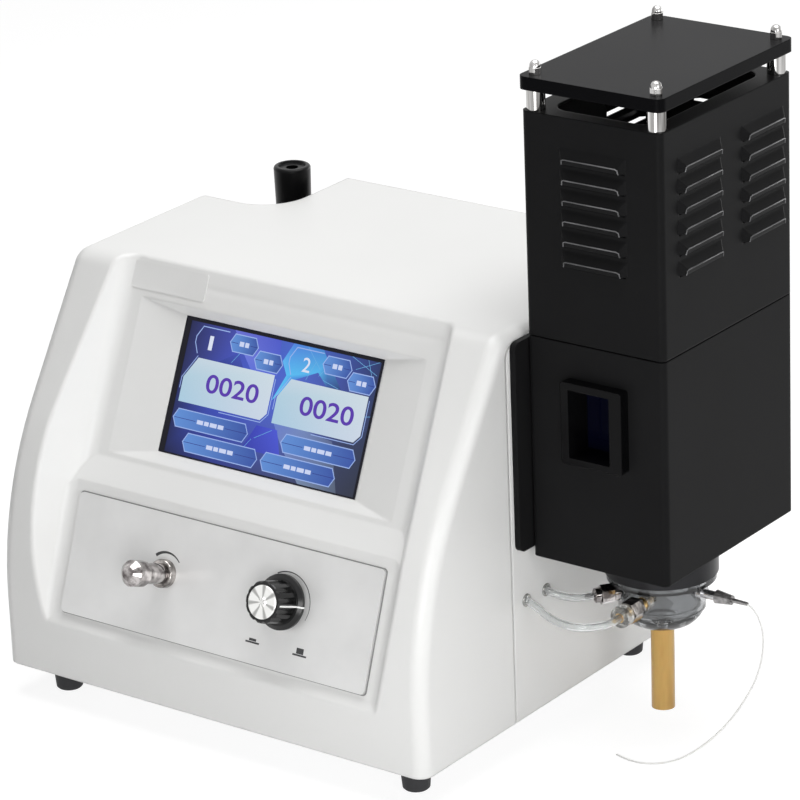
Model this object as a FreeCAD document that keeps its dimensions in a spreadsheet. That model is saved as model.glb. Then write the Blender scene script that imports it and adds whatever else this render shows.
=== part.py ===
import FreeCAD, Part
import math
import os
import Sketcher

# Flame photometer: a moulded cabinet with a sunk face (display and control panel), a louvred
# sheet-metal burner housing on its right side, and a clear mixing chamber under the burner.
# Modelling frame: X to the right from the cabinet's middle, Y to the rear from the cabinet's
# front, Z up from the cabinet's lower edge. The finished pieces are moved together at the end so
# that the origin lies on the bench under the middle of the whole object.

V = FreeCAD.Vector

SIZES = {
    # cabinet
    "cabinet_width": 329.0,
    "cabinet_depth": 289.0,
    "cabinet_height": 252.0,
    "shell_wall": 3.0,
    "front_straight": 45.0,
    "front_curve_radius": 230.0,
    "front_slope": 33.0,
    "nose_radius": 14.0,
    "side_edge_radius": 9.0,
    "rim_radius": 3.0,
    "seam_y": 95.6,
    "seam_z": 245.0,
    "seam_corner": 8.0,
    "seam_gap": 0.9,
    "rear_corner_radius": 8.0,
    "base_thickness": 2.0,
    "fit_gap": 0.3,
    "foot_height": 22.0,
    "foot_top_radius": 10.5,
    "foot_bottom_radius": 8.5,
    "foot_inset_x": 27.0,
    "foot_inset_y": 28.0,
    # pocket for the air regulator
    "notch_width": 67.5,
    "notch_depth": 76.0,
    "notch_corner": 30.0,
    "notch_floor": 110.0,
    # sunk face, lower part (control panel)
    "panel_y": 2.9,
    "panel_z": 37.6,
    "panel_tilt": 20.5,
    "panel_bed_half": 127.85,
    "panel_bed_length": 150.0,
    "bed_corner": 10.0,
    "recess_draft": 0.7,
    "recess_reach": 70.0,
    "plate_width": 238.0,
    "plate_height": 76.7,
    "plate_thickness": 2.0,
    "plate_bottom": 6.3,
    "plate_corner": 3.0,
    # sunk face, upper part (display)
    "face_y": 70.1,
    "face_z": 184.4,
    "face_tilt": 24.5,
    "face_half": 123.3,
    "face_bottom": 53.9,
    "face_corner": 12.0,
    "ledge_angle": 45.0,
    "screen_width": 153.4,
    "screen_height": 86.7,
    "funnel_width": 221.0,
    "funnel_height": 99.7,
    "funnel_drop": 1.0,
    "funnel_depth": 6.0,
    "glass_gap": 0.2,
    "module_rim": 7.0,
    "module_thickness": 7.0,
    "driver_width": 84.0,
    "driver_height": 60.0,
    "driver_thickness": 4.0,
    # electronics inside the cabinet
    "board_left": -70.0,
    "board_front": 120.0,
    "board_width": 130.0,
    "board_depth": 130.0,
    "board_thickness": 1.6,
    "board_lift": 8.0,
    "board_post_inset": 8.0,
    "board_post_radius": 3.5,
    "chip_height": 4.0,
    "supply_left": -150.0,
    "supply_front": 120.0,
    "supply_width": 60.0,
    "supply_depth": 105.0,
    "supply_height": 40.0,
    "terminal_inset": 8.0,
    "terminal_width": 6.0,
    "terminal_length": 60.0,
    "terminal_depth": 3.0,
    # gas valve
    "gas_x": 50.8,
    "gas_y": 48.7,
    "knob_clearance": 0.6,
    "knob_push": 3.0,
    "skirt_radius": 17.2,
    "skirt_height": 3.6,
    "grip_radius": 13.8,
    "grip_top_radius": 12.9,
    "grip_height": 16.4,
    "skirt_slope": 1.6,
    "knob_edge": 0.8,
    "grip_flutes": 12.0,
    "flute_radius": 2.2,
    "flute_offset": 0.3,
    "knob_hollow_radius": 10.5,
    "knob_hollow_depth": 5.0,
    "cap_radius": 10.4,
    "cap_thickness": 1.1,
    "stem_radius": 3.0,
    "stem_flat": 2.2,
    "running_gap": 0.05,
    "stem_length": 46.0,
    "rotor_radius": 5.5,
    "rotor_length": 20.0,
    "neck_radius": 6.0,
    "valve_nut_across": 17.0,
    "valve_nut_height": 3.0,
    "gas_body_radius": 13.0,
    "gas_body_length": 38.0,
    "valve_port_radius": 3.5,
    "valve_port_length": 22.0,
    "valve_port_sink": 1.5,
    "gas_port_level": 30.0,
    "rotor_level": 6.0,
    "stem_short": 2.0,
    # fine adjustment
    "fine_x": -43.1,
    "fine_y": 46.3,
    "bushing_radius": 9.0,
    "bushing_height": 5.0,
    "bushing_edge": 1.5,
    "fine_stem_radius": 6.5,
    "fine_stem_gap": 0.4,
    "fine_stem_length": 16.6,
    "fine_knob_radius": 8.3,
    "fine_knob_length": 11.0,
    "fine_neck": 1.5,
    "fine_edge": 1.2,
    "fine_tip_length": 4.0,
    "fine_tip_radius": 4.2,
    "fine_facets": 8.0,
    "spindle_radius": 2.5,
    "spindle_length": 24.0,
    "needle_radius": 1.4,
    "needle_length": 20.0,
    "needle_cone": 7.0,
    "needle_body_radius": 10.0,
    "needle_body_length": 42.0,
    "needle_neck_radius": 5.0,
    "needle_port_level": 34.0,
    "needle_grip": 8.0,
    # air regulator
    "regulator_inset_x": 42.5,
    "regulator_inset_y": 27.0,
    "regulator_top": 264.6,
    "regulator_knob_radius": 12.2,
    "regulator_knob_length": 30.0,
    "regulator_taper": 0.6,
    "regulator_edge": 2.0,
    "regulator_rim": 3.0,
    "regulator_dish": 1.6,
    "regulator_screw_radius": 4.0,
    "regulator_body_width": 26.0,
    "regulator_body_height": 28.0,
    "bonnet_radius": 10.0,
    "bonnet_height": 22.0,
    "bracket_thickness": 2.0,
    "bracket_height": 14.0,
    "screw_sink": 7.0,
    "screw_reach": 12.0,
    "nipple_reach": 8.0,
    "bowl_radius": 12.2,
    "bowl_length": 46.0,
    "bowl_wall": 1.6,
    "nipple_radius": 4.5,
    "hose_barb_radius": 4.0,
    "hose_barb_length": 20.0,
    "barb_nose_length": 5.0,
    "barb_groove": 0.7,
    "barb_collar": 2.0,
    "barb_collar_length": 3.0,
    "hose_bore_radius": 1.8,
    # back of the cabinet
    "inlet_x": -60.0,
    "inlet_z": 42.0,
    "inlet_width": 50.0,
    "inlet_height": 24.0,
    "socket_width": 24.4,
    "socket_height": 16.6,
    "socket_depth": 16.0,
    "socket_wall": 1.6,
    "flange_thickness": 2.5,
    "pin_length": 11.0,
    "switch_x": 0.0,
    "switch_width": 21.0,
    "switch_height": 15.0,
    "switch_wall": 2.0,
    "switch_rim": 2.0,
    "switch_depth": 12.0,
    "rocker_crown": 2.6,
    "rocker_depth": 6.0,
    "rocker_keel": 1.5,
    "rocker_tilt": 10.0,
    "pivot_radius": 0.7,
    "pivot_level": 1.0,
    "pivot_seat": 1.4,
    "gas_inlet_x": 100.0,
    "gas_inlet_z": 60.0,
    # optics between the flame and the detectors
    "barrel_length": 31.0,
    "barrel_wall": 2.0,
    "barrel_rim": 3.0,
    "barrel_gap": 0.5,
    "lens_radius": 40.0,
    "lens_edge": 3.0,
    "lens_level": 12.0,
    "optics_length": 56.0,
    "optics_half": 24.0,
    "optics_arm": 20.0,
    "optics_hollow_half": 18.0,
    "optics_hollow_length": 44.0,
    "optics_hollow_depth": 38.0,
    "optics_foot_length": 12.0,
    "optics_foot_width": 20.0,
    "splitter_thickness": 1.5,
    "filter_thickness": 5.0,
    "detector_radius": 6.0,
    "detector_length": 4.0,
    "detector_board_radius": 14.0,
    "detector_board": 1.6,
    # burner housing
    "plate_gap": 4.0,
    "burner_width": 97.0,
    "burner_depth": 142.5,
    "burner_front": 112.3,
    "burner_bottom": 107.0,
    "burner_seam": 249.3,
    "burner_top": 388.5,
    "burner_seam_gap": 0.8,
    "sheet": 1.5,
    "sheet_bend": 4.0,
    "lip_height": 6.0,
    "top_flange": 13.0,
    "top_flange_front": 11.0,
    "flange_corner": 12.0,
    "lid_gap": 13.0,
    "lid_height": 8.0,
    "lid_overhang": 1.4,
    "standoff_inset": 6.6,
    "standoff_radius": 5.7,
    "nut_across": 7.0,
    "nut_height": 8.6,
    "nut_dome_gap": 0.2,
    "stud_radius": 2.0,
    "stud_reach": 4.0,
    "side_plate_rim": 12.4,
    "side_plate_top": 246.6,
    "side_plate_bottom": 112.0,
    "side_plate_corner": 5.0,
    # louvres
    "louvre_length": 46.0,
    "louvre_height": 9.0,
    "louvre_depth": 4.0,
    "louvre_sheet": 1.0,
    "louvre_crest": 0.36,
    "louvre_lip": 0.8,
    "louvre_pitch": 12.6,
    "louvre_rows": 6.0,
    "louvre_first": 361.0,
    "louvre_front_shift": 1.5,
    "louvre_side_step": 69.0,
    "louvre_side_shift": 3.5,
    # window
    "window_shift": 1.5,
    "window_z": 201.5,
    "window_width": 43.0,
    "window_height": 52.0,
    "window_open_width": 29.0,
    "window_open_height": 43.0,
    "window_proud": 8.0,
    "window_corner": 2.0,
    "window_open_shift": 1.5,
    "sleeve_step": 0.8,
    "sleeve_wall": 1.2,
    "sleeve_depth": 12.0,
    "glass_thickness": 3.0,
    # burner and chimney
    "burner_shift": 2.5,
    "flame_z": 197.0,
    "light_hole_radius": 13.0,
    "chimney_radius": 31.0,
    "chimney_wall": 1.2,
    "chimney_top": 330.0,
    "burner_head_radius": 14.0,
    "burner_head_height": 16.0,
    "burner_head_top": 166.0,
    "burner_port_radius": 1.3,
    "burner_port_rows": 1.0,
    "burner_stem_radius": 8.5,
    "burner_stem_wall": 2.0,
    "burner_stem_grip": 5.0,
    "burner_stem_drop": 6.0,
    "burner_head_wall": 3.0,
    "burner_head_plate": 4.0,
    "burner_socket_height": 6.0,
    "chimney_window_width": 32.0,
    "chimney_window_height": 44.0,
    "igniter_hole_radius": 5.0,
    "igniter_radius": 3.5,
    "igniter_wire_radius": 1.0,
    "igniter_wire_rise": 12.0,
    "igniter_inset": 8.0,
    "spark_gap": 5.0,
    "floor_hole_radius": 20.0,
    "collar_radius": 35.2,
    "collar_height": 24.5,
    "collar_bore": 26.0,
    "collar_top": 4.0,
    # mixing chamber
    "chamber_flange_radius": 34.0,
    "chamber_flange_height": 4.5,
    "chamber_radius": 27.0,
    "chamber_body_height": 20.0,
    "chamber_wall": 3.0,
    "chamber_step_radius": 25.0,
    "chamber_step_height": 3.0,
    "chamber_dome_height": 9.0,
    "spout_radius": 5.0,
    "spout_length": 10.0,
    "spout_bore": 2.6,
    "port_drop": 10.0,
    "port_hole_radius": 3.0,
    # nebulizer
    "nebulizer_ring_radius": 5.0,
    "nebulizer_ring_end": 4.0,
    "nebulizer_sink": 8.0,
    "nebulizer_stem_radius": 2.9,
    "nebulizer_stem_length": 9.0,
    "sleeve_length": 11.0,
    "sleeve_radius": 4.3,
    "sleeve_end_radius": 3.0,
    "tip_length": 11.0,
    "tip_radius": 1.5,
    "capillary_radius": 0.55,
    # connectors and tubes
    "gas_port_x": 7.5,
    "gas_port_y": 110.0,
    "gas_port_z": 77.0,
    "air_port_y": 131.0,
    "air_port_z": 76.0,
    "air_port_drop": 2.0,
    "port_gap": 1.2,
    "port_sink": 6.0,
    "ring_length": 6.0,
    "ring_radius": 5.2,
    "ring_edge": 0.4,
    "shoulder_radius": 4.2,
    "shoulder_length": 12.0,
    "gas_pipe_radius": 3.0,
    "gas_pipe_end": 31.0,
    "barb_reach": 6.0,
    "union_across": 12.5,
    "union_length": 11.0,
    "union_ring_start": 24.0,
    "union_ring_radius": 6.8,
    "air_washer": 3.0,
    "air_pipe_radius": 3.6,
    "air_pipe_end": 12.0,
    "air_collar_radius": 4.6,
    "air_collar_end": 15.0,
    "air_barb_start": 16.2,
    "air_barb_radius": 2.6,
    "air_barb_reach": 4.8,
    "air_hex_across": 11.0,
    "air_hex_length": 8.0,
    "air_hex_start": 3.5,
    "air_port_angle": 232.0,
    "tube_radius": 2.5,
    "tube_bore": 1.5,
    "drain_radius": 7.3,
    "drain_bore": 5.05,
    "drain_end": -10.0,
}

doc = FreeCAD.newDocument("FlamePhotometer")
sheet = doc.addObject("Spreadsheet::Sheet", "Sizes")
for row, (alias, amount) in enumerate(SIZES.items(), start=1):
    sheet.set(f"A{row}", str(amount))
    sheet.setAlias(f"A{row}", alias)
doc.recompute()


# ---- sizes that know the spreadsheet expression they come from ----

class Size:
    def __init__(self, amount, text):
        self.amount = amount
        self.text = text

    def __add__(self, other):
        return Size(self.amount + number(other), f"({self.text} + {words(other)})")

    def __radd__(self, other):
        return Size(number(other) + self.amount, f"({words(other)} + {self.text})")

    def __sub__(self, other):
        return Size(self.amount - number(other), f"({self.text} - {words(other)})")

    def __rsub__(self, other):
        return Size(number(other) - self.amount, f"({words(other)} - {self.text})")

    def __mul__(self, other):
        return Size(self.amount * number(other), f"({self.text} * {words(other)})")

    def __rmul__(self, other):
        return Size(number(other) * self.amount, f"({words(other)} * {self.text})")

    def __truediv__(self, other):
        return Size(self.amount / number(other), f"({self.text} / {words(other)})")

    def __rtruediv__(self, other):
        return Size(number(other) / self.amount, f"({words(other)} / {self.text})")

    def __neg__(self):
        return Size(-self.amount, f"(0 - {self.text})")


def number(size):
    return size.amount if isinstance(size, Size) else float(size)


def words(size):
    return size.text if isinstance(size, Size) else f"({float(size):.9g})"


def sin_of(angle):
    return Size(math.sin(math.radians(number(angle))), f"sin({words(angle)} * 1deg)")


def cos_of(angle):
    return Size(math.cos(math.radians(number(angle))), f"cos({words(angle)} * 1deg)")


def tan_of(angle):
    return Size(math.tan(math.radians(number(angle))), f"tan({words(angle)} * 1deg)")


def root_of(amount):
    return Size(math.sqrt(number(amount)), f"sqrt({words(amount)})")


class Table:
    pass


s = Table()
for alias in SIZES:
    setattr(s, alias, Size(float(sheet.get(alias)), f"Sizes.{alias}"))


def bind(thing, path, size):
    thing.setExpression(path, words(size))


# ---- drawing helpers ----

def place(thing, at=(0, 0, 0), axis=None, angle=0):
    """Put a piece at a point, turned about an axis, with every value bound to the sheet."""
    if axis is not None:
        thing.Placement = FreeCAD.Placement(V(0, 0, 0), FreeCAD.Rotation(V(*axis), number(angle)))
        bind(thing, "Placement.Rotation.Angle", angle * Size(1, "1deg") if isinstance(angle, Size)
             else Size(number(angle), f"{number(angle):.9g}deg"))
    for letter, size in zip("xyz", at):
        bind(thing, f"Placement.Base.{letter}", size)
    return thing


def arc_between(start, end, radius):
    """The arc from start to end with this radius; a positive radius turns to the left."""
    chord = end.sub(start)
    side = V(-chord.y, chord.x, 0).normalize()
    reach = math.sqrt(max(radius ** 2 - (chord.Length / 2) ** 2, 0.0))
    centre = start.add(end).multiply(0.5).add(side.multiply(reach if radius > 0 else -reach))
    first, last = (start, end) if radius > 0 else (end, start)
    a = math.atan2(first.y - centre.y, first.x - centre.x)
    b = math.atan2(last.y - centre.y, last.x - centre.x)
    if b <= a:
        b += 2 * math.pi
    return Part.ArcOfCircle(Part.Circle(centre, V(0, 0, 1), abs(radius)), a, b)


def draw(body, plane, outlines, level=0):
    """A sketch of closed outlines on one of the body's own planes.

    An outline is a list of corners (x, y), or (x, y, radius) where an arc arrives at the
    corner, or a circle ("circle", x, y, radius).
    """
    sketch = body.newObject("Sketcher::SketchObject", "outline")
    base = [f for f in body.Origin.OriginFeatures if f.Role == plane][0]
    sketch.AttachmentSupport = [(base, "")]
    sketch.MapMode = "FlatFace"
    bind(sketch, "AttachmentOffset.Base.z", level)
    for outline in outlines:
        if outline[0] == "circle":
            draw_circle(sketch, *outline[1:])
        else:
            draw_corners(sketch, outline)
    return sketch


def pin_down(sketch, kind, geometry, end, size):
    constraint = sketch.addConstraint(Sketcher.Constraint(kind, geometry, end, number(size)))
    if isinstance(size, Size):
        sketch.setExpression(f"Constraints[{constraint}]", words(size))


def draw_circle(sketch, x, y, radius):
    circle = Part.Circle(V(number(x), number(y), 0), V(0, 0, 1), number(radius))
    index = sketch.addGeometry(circle, False)
    pin_down(sketch, "DistanceX", index, 3, x)
    pin_down(sketch, "DistanceY", index, 3, y)
    constraint = sketch.addConstraint(Sketcher.Constraint("Radius", index, number(radius)))
    if isinstance(radius, Size):
        sketch.setExpression(f"Constraints[{constraint}]", words(radius))


def draw_corners(sketch, corners):
    points = [V(number(c[0]), number(c[1]), 0) for c in corners]
    first = sketch.GeometryCount
    ends = []
    radii = []
    for i, start in enumerate(points):
        j = (i + 1) % len(points)
        if len(corners[j]) == 3:
            radius = corners[j][2]
            index = sketch.addGeometry(arc_between(start, points[j], number(radius)), False)
            ends.append((1, 2) if number(radius) > 0 else (2, 1))
            radii.append((index, radius))
        else:
            index = sketch.addGeometry(Part.LineSegment(start, points[j]), False)
            ends.append((1, 2))
    for i in range(len(points)):
        j = (i + 1) % len(points)
        sketch.addConstraint(Sketcher.Constraint(
            "Coincident", first + i, ends[i][1], first + j, ends[j][0]))
    for i, corner in enumerate(corners):
        pin_down(sketch, "DistanceX", first + i, ends[i][0], corner[0])
        pin_down(sketch, "DistanceY", first + i, ends[i][0], corner[1])
    for index, radius in radii:
        size = radius if number(radius) > 0 else 0 - radius
        constraint = sketch.addConstraint(Sketcher.Constraint("Radius", index, number(size)))
        if isinstance(size, Size):
            sketch.setExpression(f"Constraints[{constraint}]", words(size))


def box_outline(x0, x1, y0, y1):
    return [(x0, y0), (x1, y0), (x1, y1), (x0, y1)]


def rounded(x0, x1, y0, y1, corner):
    return [(x0 + corner, y0, corner), (x1 - corner, y0), (x1, y0 + corner, corner),
            (x1, y1 - corner), (x1 - corner, y1, corner), (x0 + corner, y1),
            (x0, y1 - corner, corner), (x0, y0 + corner)]


def slab(name, outlines, height, plane="XY_Plane", level=0, both=False):
    """A padded outline; both=True pads it equally to both sides of its plane."""
    body = doc.addObject("PartDesign::Body", name)
    sketch = draw(body, plane, outlines, level)
    pad = body.newObject("PartDesign::Pad", "pad")
    pad.Profile = (sketch, [""])
    pad.Midplane = both
    bind(pad, "Length", height)
    return body


def add_slab(body, outlines, height, plane="XY_Plane", level=0, down=False):
    pad = body.newObject("PartDesign::Pad", "pad")
    pad.Profile = (draw(body, plane, outlines, level), [""])
    pad.Reversed = down
    bind(pad, "Length", height)
    return body


def bore(body, outlines, plane="XY_Plane", depth=None, level=0, up=False):
    """Cut outlines right through the body, or to a depth below (or above) the level.

    On the XZ plane below means towards the rear and above towards the front.
    """
    pocket = body.newObject("PartDesign::Pocket", "cut")
    pocket.Profile = (draw(body, plane, outlines, level), [""])
    if depth is None:
        pocket.Type = "ThroughAll"
        pocket.Midplane = True
    else:
        bind(pocket, "Length", depth)
        pocket.Reversed = up
    return body


def add_both(body, outlines, height, plane):
    """Pad outlines equally to both sides of their plane, onto the body."""
    pad = body.newObject("PartDesign::Pad", "pad")
    pad.Profile = (draw(body, plane, outlines), [""])
    pad.Midplane = True
    bind(pad, "Length", height)
    return body


def bore_both(body, outlines, plane, reach):
    """Cut outlines equally to both sides of their plane."""
    pocket = body.newObject("PartDesign::Pocket", "cut")
    pocket.Profile = (draw(body, plane, outlines), [""])
    pocket.Midplane = True
    bind(pocket, "Length", reach)
    return body


def turned(name, outline):
    """A revolve about Z of an outline given as (radius, height) corners."""
    body = doc.addObject("PartDesign::Body", name)
    add_turned(body, outline)
    return body


def add_turned(body, outline):
    sketch = draw(body, "XZ_Plane", [outline])
    revolution = body.newObject("PartDesign::Revolution", "turning")
    revolution.Profile = (sketch, [""])
    revolution.ReferenceAxis = (sketch, ["V_Axis"])
    revolution.Angle = 360
    return body


def block(name, x0, x1, y0, y1, z0, z1):
    box = doc.addObject("Part::Box", name)
    for prop, size in (("Length", x1 - x0), ("Width", y1 - y0), ("Height", z1 - z0)):
        bind(box, prop, size)
    return place(box, (x0, y0, z0))


def rod(name, radius, start, length, axis=None, angle=0):
    cylinder = doc.addObject("Part::Cylinder", name)
    bind(cylinder, "Radius", radius)
    bind(cylinder, "Height", length)
    return place(cylinder, start, axis, angle)


def joined(name, pieces):
    union = doc.addObject("Part::MultiFuse", name)
    union.Shapes = pieces
    union.Refine = True
    return union


def cut_from(name, base, tools):
    """base with every tool taken away."""
    tool = tools[0] if len(tools) == 1 else joined(f"{name}_tools", tools)
    rest = doc.addObject("Part::Cut", name)
    rest.Base = base
    rest.Tool = tool
    rest.Refine = True
    return rest


def linked(name, source, at, axis=None, angle=0):
    """Another copy of a piece at its own place."""
    copy = doc.addObject("App::Link", name)
    copy.LinkedObject = source
    copy.LinkTransform = False
    return place(copy, at, axis, angle)


def rounded_edges(name, source, wanted, radius):
    """Fillet the edges for which wanted(edge) holds."""
    doc.recompute()
    fillet = doc.addObject("Part::Fillet", name)
    fillet.Base = source
    chosen = [i for i, edge in enumerate(source.Shape.Edges, start=1) if wanted(edge)]
    fillet.Edges = [(i, number(radius), number(radius)) for i in chosen]
    return fillet


pieces = []
cords = []


def keep(piece, label, cord=False):
    """Register a finished sub-part under the name of its file."""
    piece.Label = label
    pieces.append(piece)
    if cord:
        cords.append(piece)
    return piece


def gather(label, members):
    group = doc.addObject("Part::Compound", f"{label}_set")
    group.Links = members
    return keep(group, label)


# ---- frames of the two sunk faces: x to the right, y up the face, z outward ----

def panel_point(x, y, z):
    return (x, s.panel_y + y * sin_of(s.panel_tilt) - z * cos_of(s.panel_tilt),
            s.panel_z + y * cos_of(s.panel_tilt) + z * sin_of(s.panel_tilt))


def face_point(x, y, z):
    return (x, s.face_y + y * sin_of(s.face_tilt) - z * cos_of(s.face_tilt),
            s.face_z + y * cos_of(s.face_tilt) + z * sin_of(s.face_tilt))


def on_panel(piece, x, y, z):
    return place(piece, panel_point(x, y, z), (1, 0, 0), 90 - s.panel_tilt)


def on_face(piece, x, y, z):
    return place(piece, face_point(x, y, z), (1, 0, 0), 90 - s.face_tilt)


# ---- cabinet ----

half_width = s.cabinet_width / 2
regulator_x = s.regulator_inset_x - half_width
regulator_y = s.cabinet_depth - s.regulator_inset_y


def side_view(inset, bottom):
    """The cabinet's front and top line in side view, moved in by inset, up to the top rear."""
    curve = s.front_curve_radius
    slope = s.front_slope
    bend_y = curve - curve * cos_of(slope)
    bend_z = s.front_straight + curve * sin_of(slope)
    nose_z = s.cabinet_height - s.nose_radius
    touch_z = nose_z + s.nose_radius * sin_of(slope)
    touch_y = bend_y + (touch_z - bend_z) * tan_of(slope)
    nose_y = touch_y + s.nose_radius * cos_of(slope)
    inner_curve = curve - inset
    inner_nose = s.nose_radius - inset
    return [
        (0 + inset, bottom),
        (0 + inset, s.front_straight),
        (curve - inner_curve * cos_of(slope), s.front_straight + inner_curve * sin_of(slope),
         0 - inner_curve),
        (nose_y - inner_nose * cos_of(slope), nose_z + inner_nose * sin_of(slope)),
        (nose_y, s.cabinet_height - inset, 0 - inner_nose),
        (s.cabinet_depth - inset, s.cabinet_height - inset),
    ]


def frustum(name, at, tilt, near, far, depth):
    """A straight-sided tool from rectangle near (x0, x1, y0, y1) to far, depth further out."""
    wedge = doc.addObject("Part::Wedge", name)
    bind(wedge, "Ymin", 0)
    bind(wedge, "Ymax", depth)
    for suffix, (x0, x1, y0, y1) in (("", near), ("2", far)):
        bind(wedge, f"X{suffix}min", x0)
        bind(wedge, f"X{suffix}max", x1)
        bind(wedge, f"Z{suffix}min", 0 - y1)
        bind(wedge, f"Z{suffix}max", 0 - y0)
    return place(wedge, at, (1, 0, 0), 180 - tilt)


def lies_on(edge, at, tilt):
    """Whether an edge lies in the plane through a point that leans back by tilt."""
    lean = math.tan(math.radians(number(tilt)))
    y, z = number(at[1]), number(at[2])
    return all(abs(corner.Y - y - (corner.Z - z) * lean) < 0.01 for corner in edge.Vertexes)


def lies_between(edge, surfaces):
    """Whether an edge runs along both of these surfaces."""
    length = edge.LastParameter - edge.FirstParameter
    points = [edge.valueAt(edge.FirstParameter + length * share) for share in (0, 0.3, 0.6, 1)]
    return all(Part.Vertex(point).distToShape(surface)[0] < 0.01
               for point in points for surface in surfaces)


def recess_tool(name, skin):
    """What is sunk out of the cabinet's front: panel bed, display face and the display's funnel.

    skin grows the tool, so that the grown tool less the plain one is the moulded wall.
    """
    reach = s.recess_reach
    spread = root_of(1 + s.recess_draft * s.recess_draft)
    bed_half = s.panel_bed_half + skin * (spread - s.recess_draft)
    bed_far = bed_half + s.recess_draft * reach
    bed_low = 0 - skin * (root_of(2) - 1)
    bed_at = panel_point(0, 0, 0 - skin)
    bed = frustum(f"{name}_bed", bed_at, s.panel_tilt,
                  (0 - bed_half, bed_half, bed_low, s.panel_bed_length),
                  (0 - bed_far, bed_far, bed_low - reach, s.panel_bed_length), reach)
    bed_top = number(bed_at[2]) + number(s.panel_bed_length) / 2

    def bed_corner(edge):
        return lies_on(edge, bed_at, s.panel_tilt) and edge.CenterOfMass.z < bed_top

    bed = rounded_edges(f"{name}_bed_corners", bed, bed_corner, s.bed_corner + skin)
    ledge = 1 / tan_of(s.ledge_angle - s.face_tilt)
    ledge_skin = skin * (root_of(1 + ledge * ledge) - ledge)
    face_half = s.face_half + skin * (spread - s.recess_draft)
    face_far = face_half + s.recess_draft * reach
    face_low = 0 - s.face_bottom - ledge_skin
    face_high = s.cabinet_height
    face_at = face_point(0, 0, 0 - skin)
    face = frustum(f"{name}_face", face_at, s.face_tilt,
                   (0 - face_half, face_half, face_low, face_high),
                   (0 - face_far, face_far, face_low - ledge * reach, face_high), reach)

    def face_side(edge):
        at_side = abs(edge.CenterOfMass.x) > number(face_half) - 0.01
        return at_side and lies_on(edge, face_at, s.face_tilt)

    face = rounded_edges(f"{name}_face_corners", face, face_side, s.face_corner + skin)
    funnel_low = 0 - s.funnel_height / 2 - s.funnel_drop - skin
    funnel_high = s.funnel_height / 2 - s.funnel_drop + skin
    screen_x = s.screen_width / 2 + skin
    screen_y = s.screen_height / 2 + skin
    funnel_x = s.funnel_width / 2 + skin
    funnel = frustum(f"{name}_funnel", face_point(0, 0, 0 - s.funnel_depth - skin), s.face_tilt,
                     (0 - screen_x, screen_x, 0 - screen_y, screen_y),
                     (0 - funnel_x, funnel_x, funnel_low, funnel_high), s.funnel_depth)
    return joined(name, [bed, face, funnel])


def notch_tool(name, skin, bottom):
    """The pocket at the rear left corner, grown by skin, from bottom up past the top."""
    x0 = 0 - half_width - 5
    x1 = 0 - half_width + s.notch_width + skin
    y0 = s.cabinet_depth - s.notch_depth - skin
    y1 = s.cabinet_depth + 5
    corner = s.notch_corner + skin
    outline = [(x0, y0), (x1 - corner, y0), (x1, y0 + corner, corner), (x1, y1), (x0, y1)]
    tool = slab(name, [outline], s.cabinet_height + 5 - bottom)
    return place(tool, (0, 0, bottom))


def front_edge(edge):
    """Edges of the padded side view that run along the front and over the nose."""
    middle = edge.CenterOfMass
    along_side = abs(abs(middle.x) - number(half_width)) < 0.01
    in_front = middle.y < number(s.seam_y) - 4
    low = edge.BoundBox.ZMax < 0.01
    return along_side and in_front and not low


def make_front_shell():
    outer = side_view(0, 0) + [
        (s.cabinet_depth, s.seam_z),
        (s.seam_y + s.seam_corner, s.seam_z),
        (s.seam_y, s.seam_z - s.seam_corner, s.seam_corner),
        (s.seam_y, 0),
    ]
    solid = slab("front_outer", [outer], s.cabinet_width, "YZ_Plane", both=True)
    solid = rounded_edges("front_rounded", solid, front_edge, s.side_edge_radius)
    wall = s.shell_wall
    hollow = side_view(wall, -5) + [(s.cabinet_depth - wall, -5)]
    cavity = slab("front_cavity", [hollow], s.cabinet_width - 2 * wall, "YZ_Plane", both=True)
    cavity = rounded_edges("front_cavity_rounded", cavity, cavity_edge, s.side_edge_radius - wall)
    cavity = cut_from("front_hollow", cavity, [
        recess_tool("recess_skin", wall),
        notch_tool("notch_lip", wall, s.seam_z)])
    screen = slab("screen_hole", [box_outline(0 - s.screen_width / 2, s.screen_width / 2,
                                              0 - s.screen_height / 2, s.screen_height / 2)], 40,
                  both=True)
    on_face(screen, 0, 0, 0 - s.funnel_depth)
    gas_hole = on_panel(slab("gas_hole", [("circle", 0, 0, s.neck_radius + s.fit_gap)], 30,
                             both=True), s.gas_x, s.gas_y, 0)
    fine_hole = on_panel(slab("fine_hole", [("circle", 0, 0, s.needle_neck_radius + s.fit_gap)],
                              30, both=True), s.fine_x, s.fine_y, 0)
    recess = recess_tool("recess", 0)
    shell = cut_from("front_shell_body", solid, [
        cavity, recess, notch_tool("notch_top", 0, s.seam_z - 60), screen, gas_hole, fine_hole])
    doc.recompute()
    surfaces = [solid.Shape.Shells[0], recess.Shape.Shells[0]]
    shell = rounded_edges("front_shell_rim", shell, lambda edge: lies_between(edge, surfaces),
                          s.rim_radius)
    return keep(shell, "front_shell")


def cavity_edge(edge):
    middle = edge.CenterOfMass
    inner_half = number(half_width - s.shell_wall)
    along_side = abs(abs(middle.x) - inner_half) < 0.01
    in_front = middle.y < number(s.seam_y) - 4
    low = edge.BoundBox.ZMax < 0.01
    return along_side and in_front and not low


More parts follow.
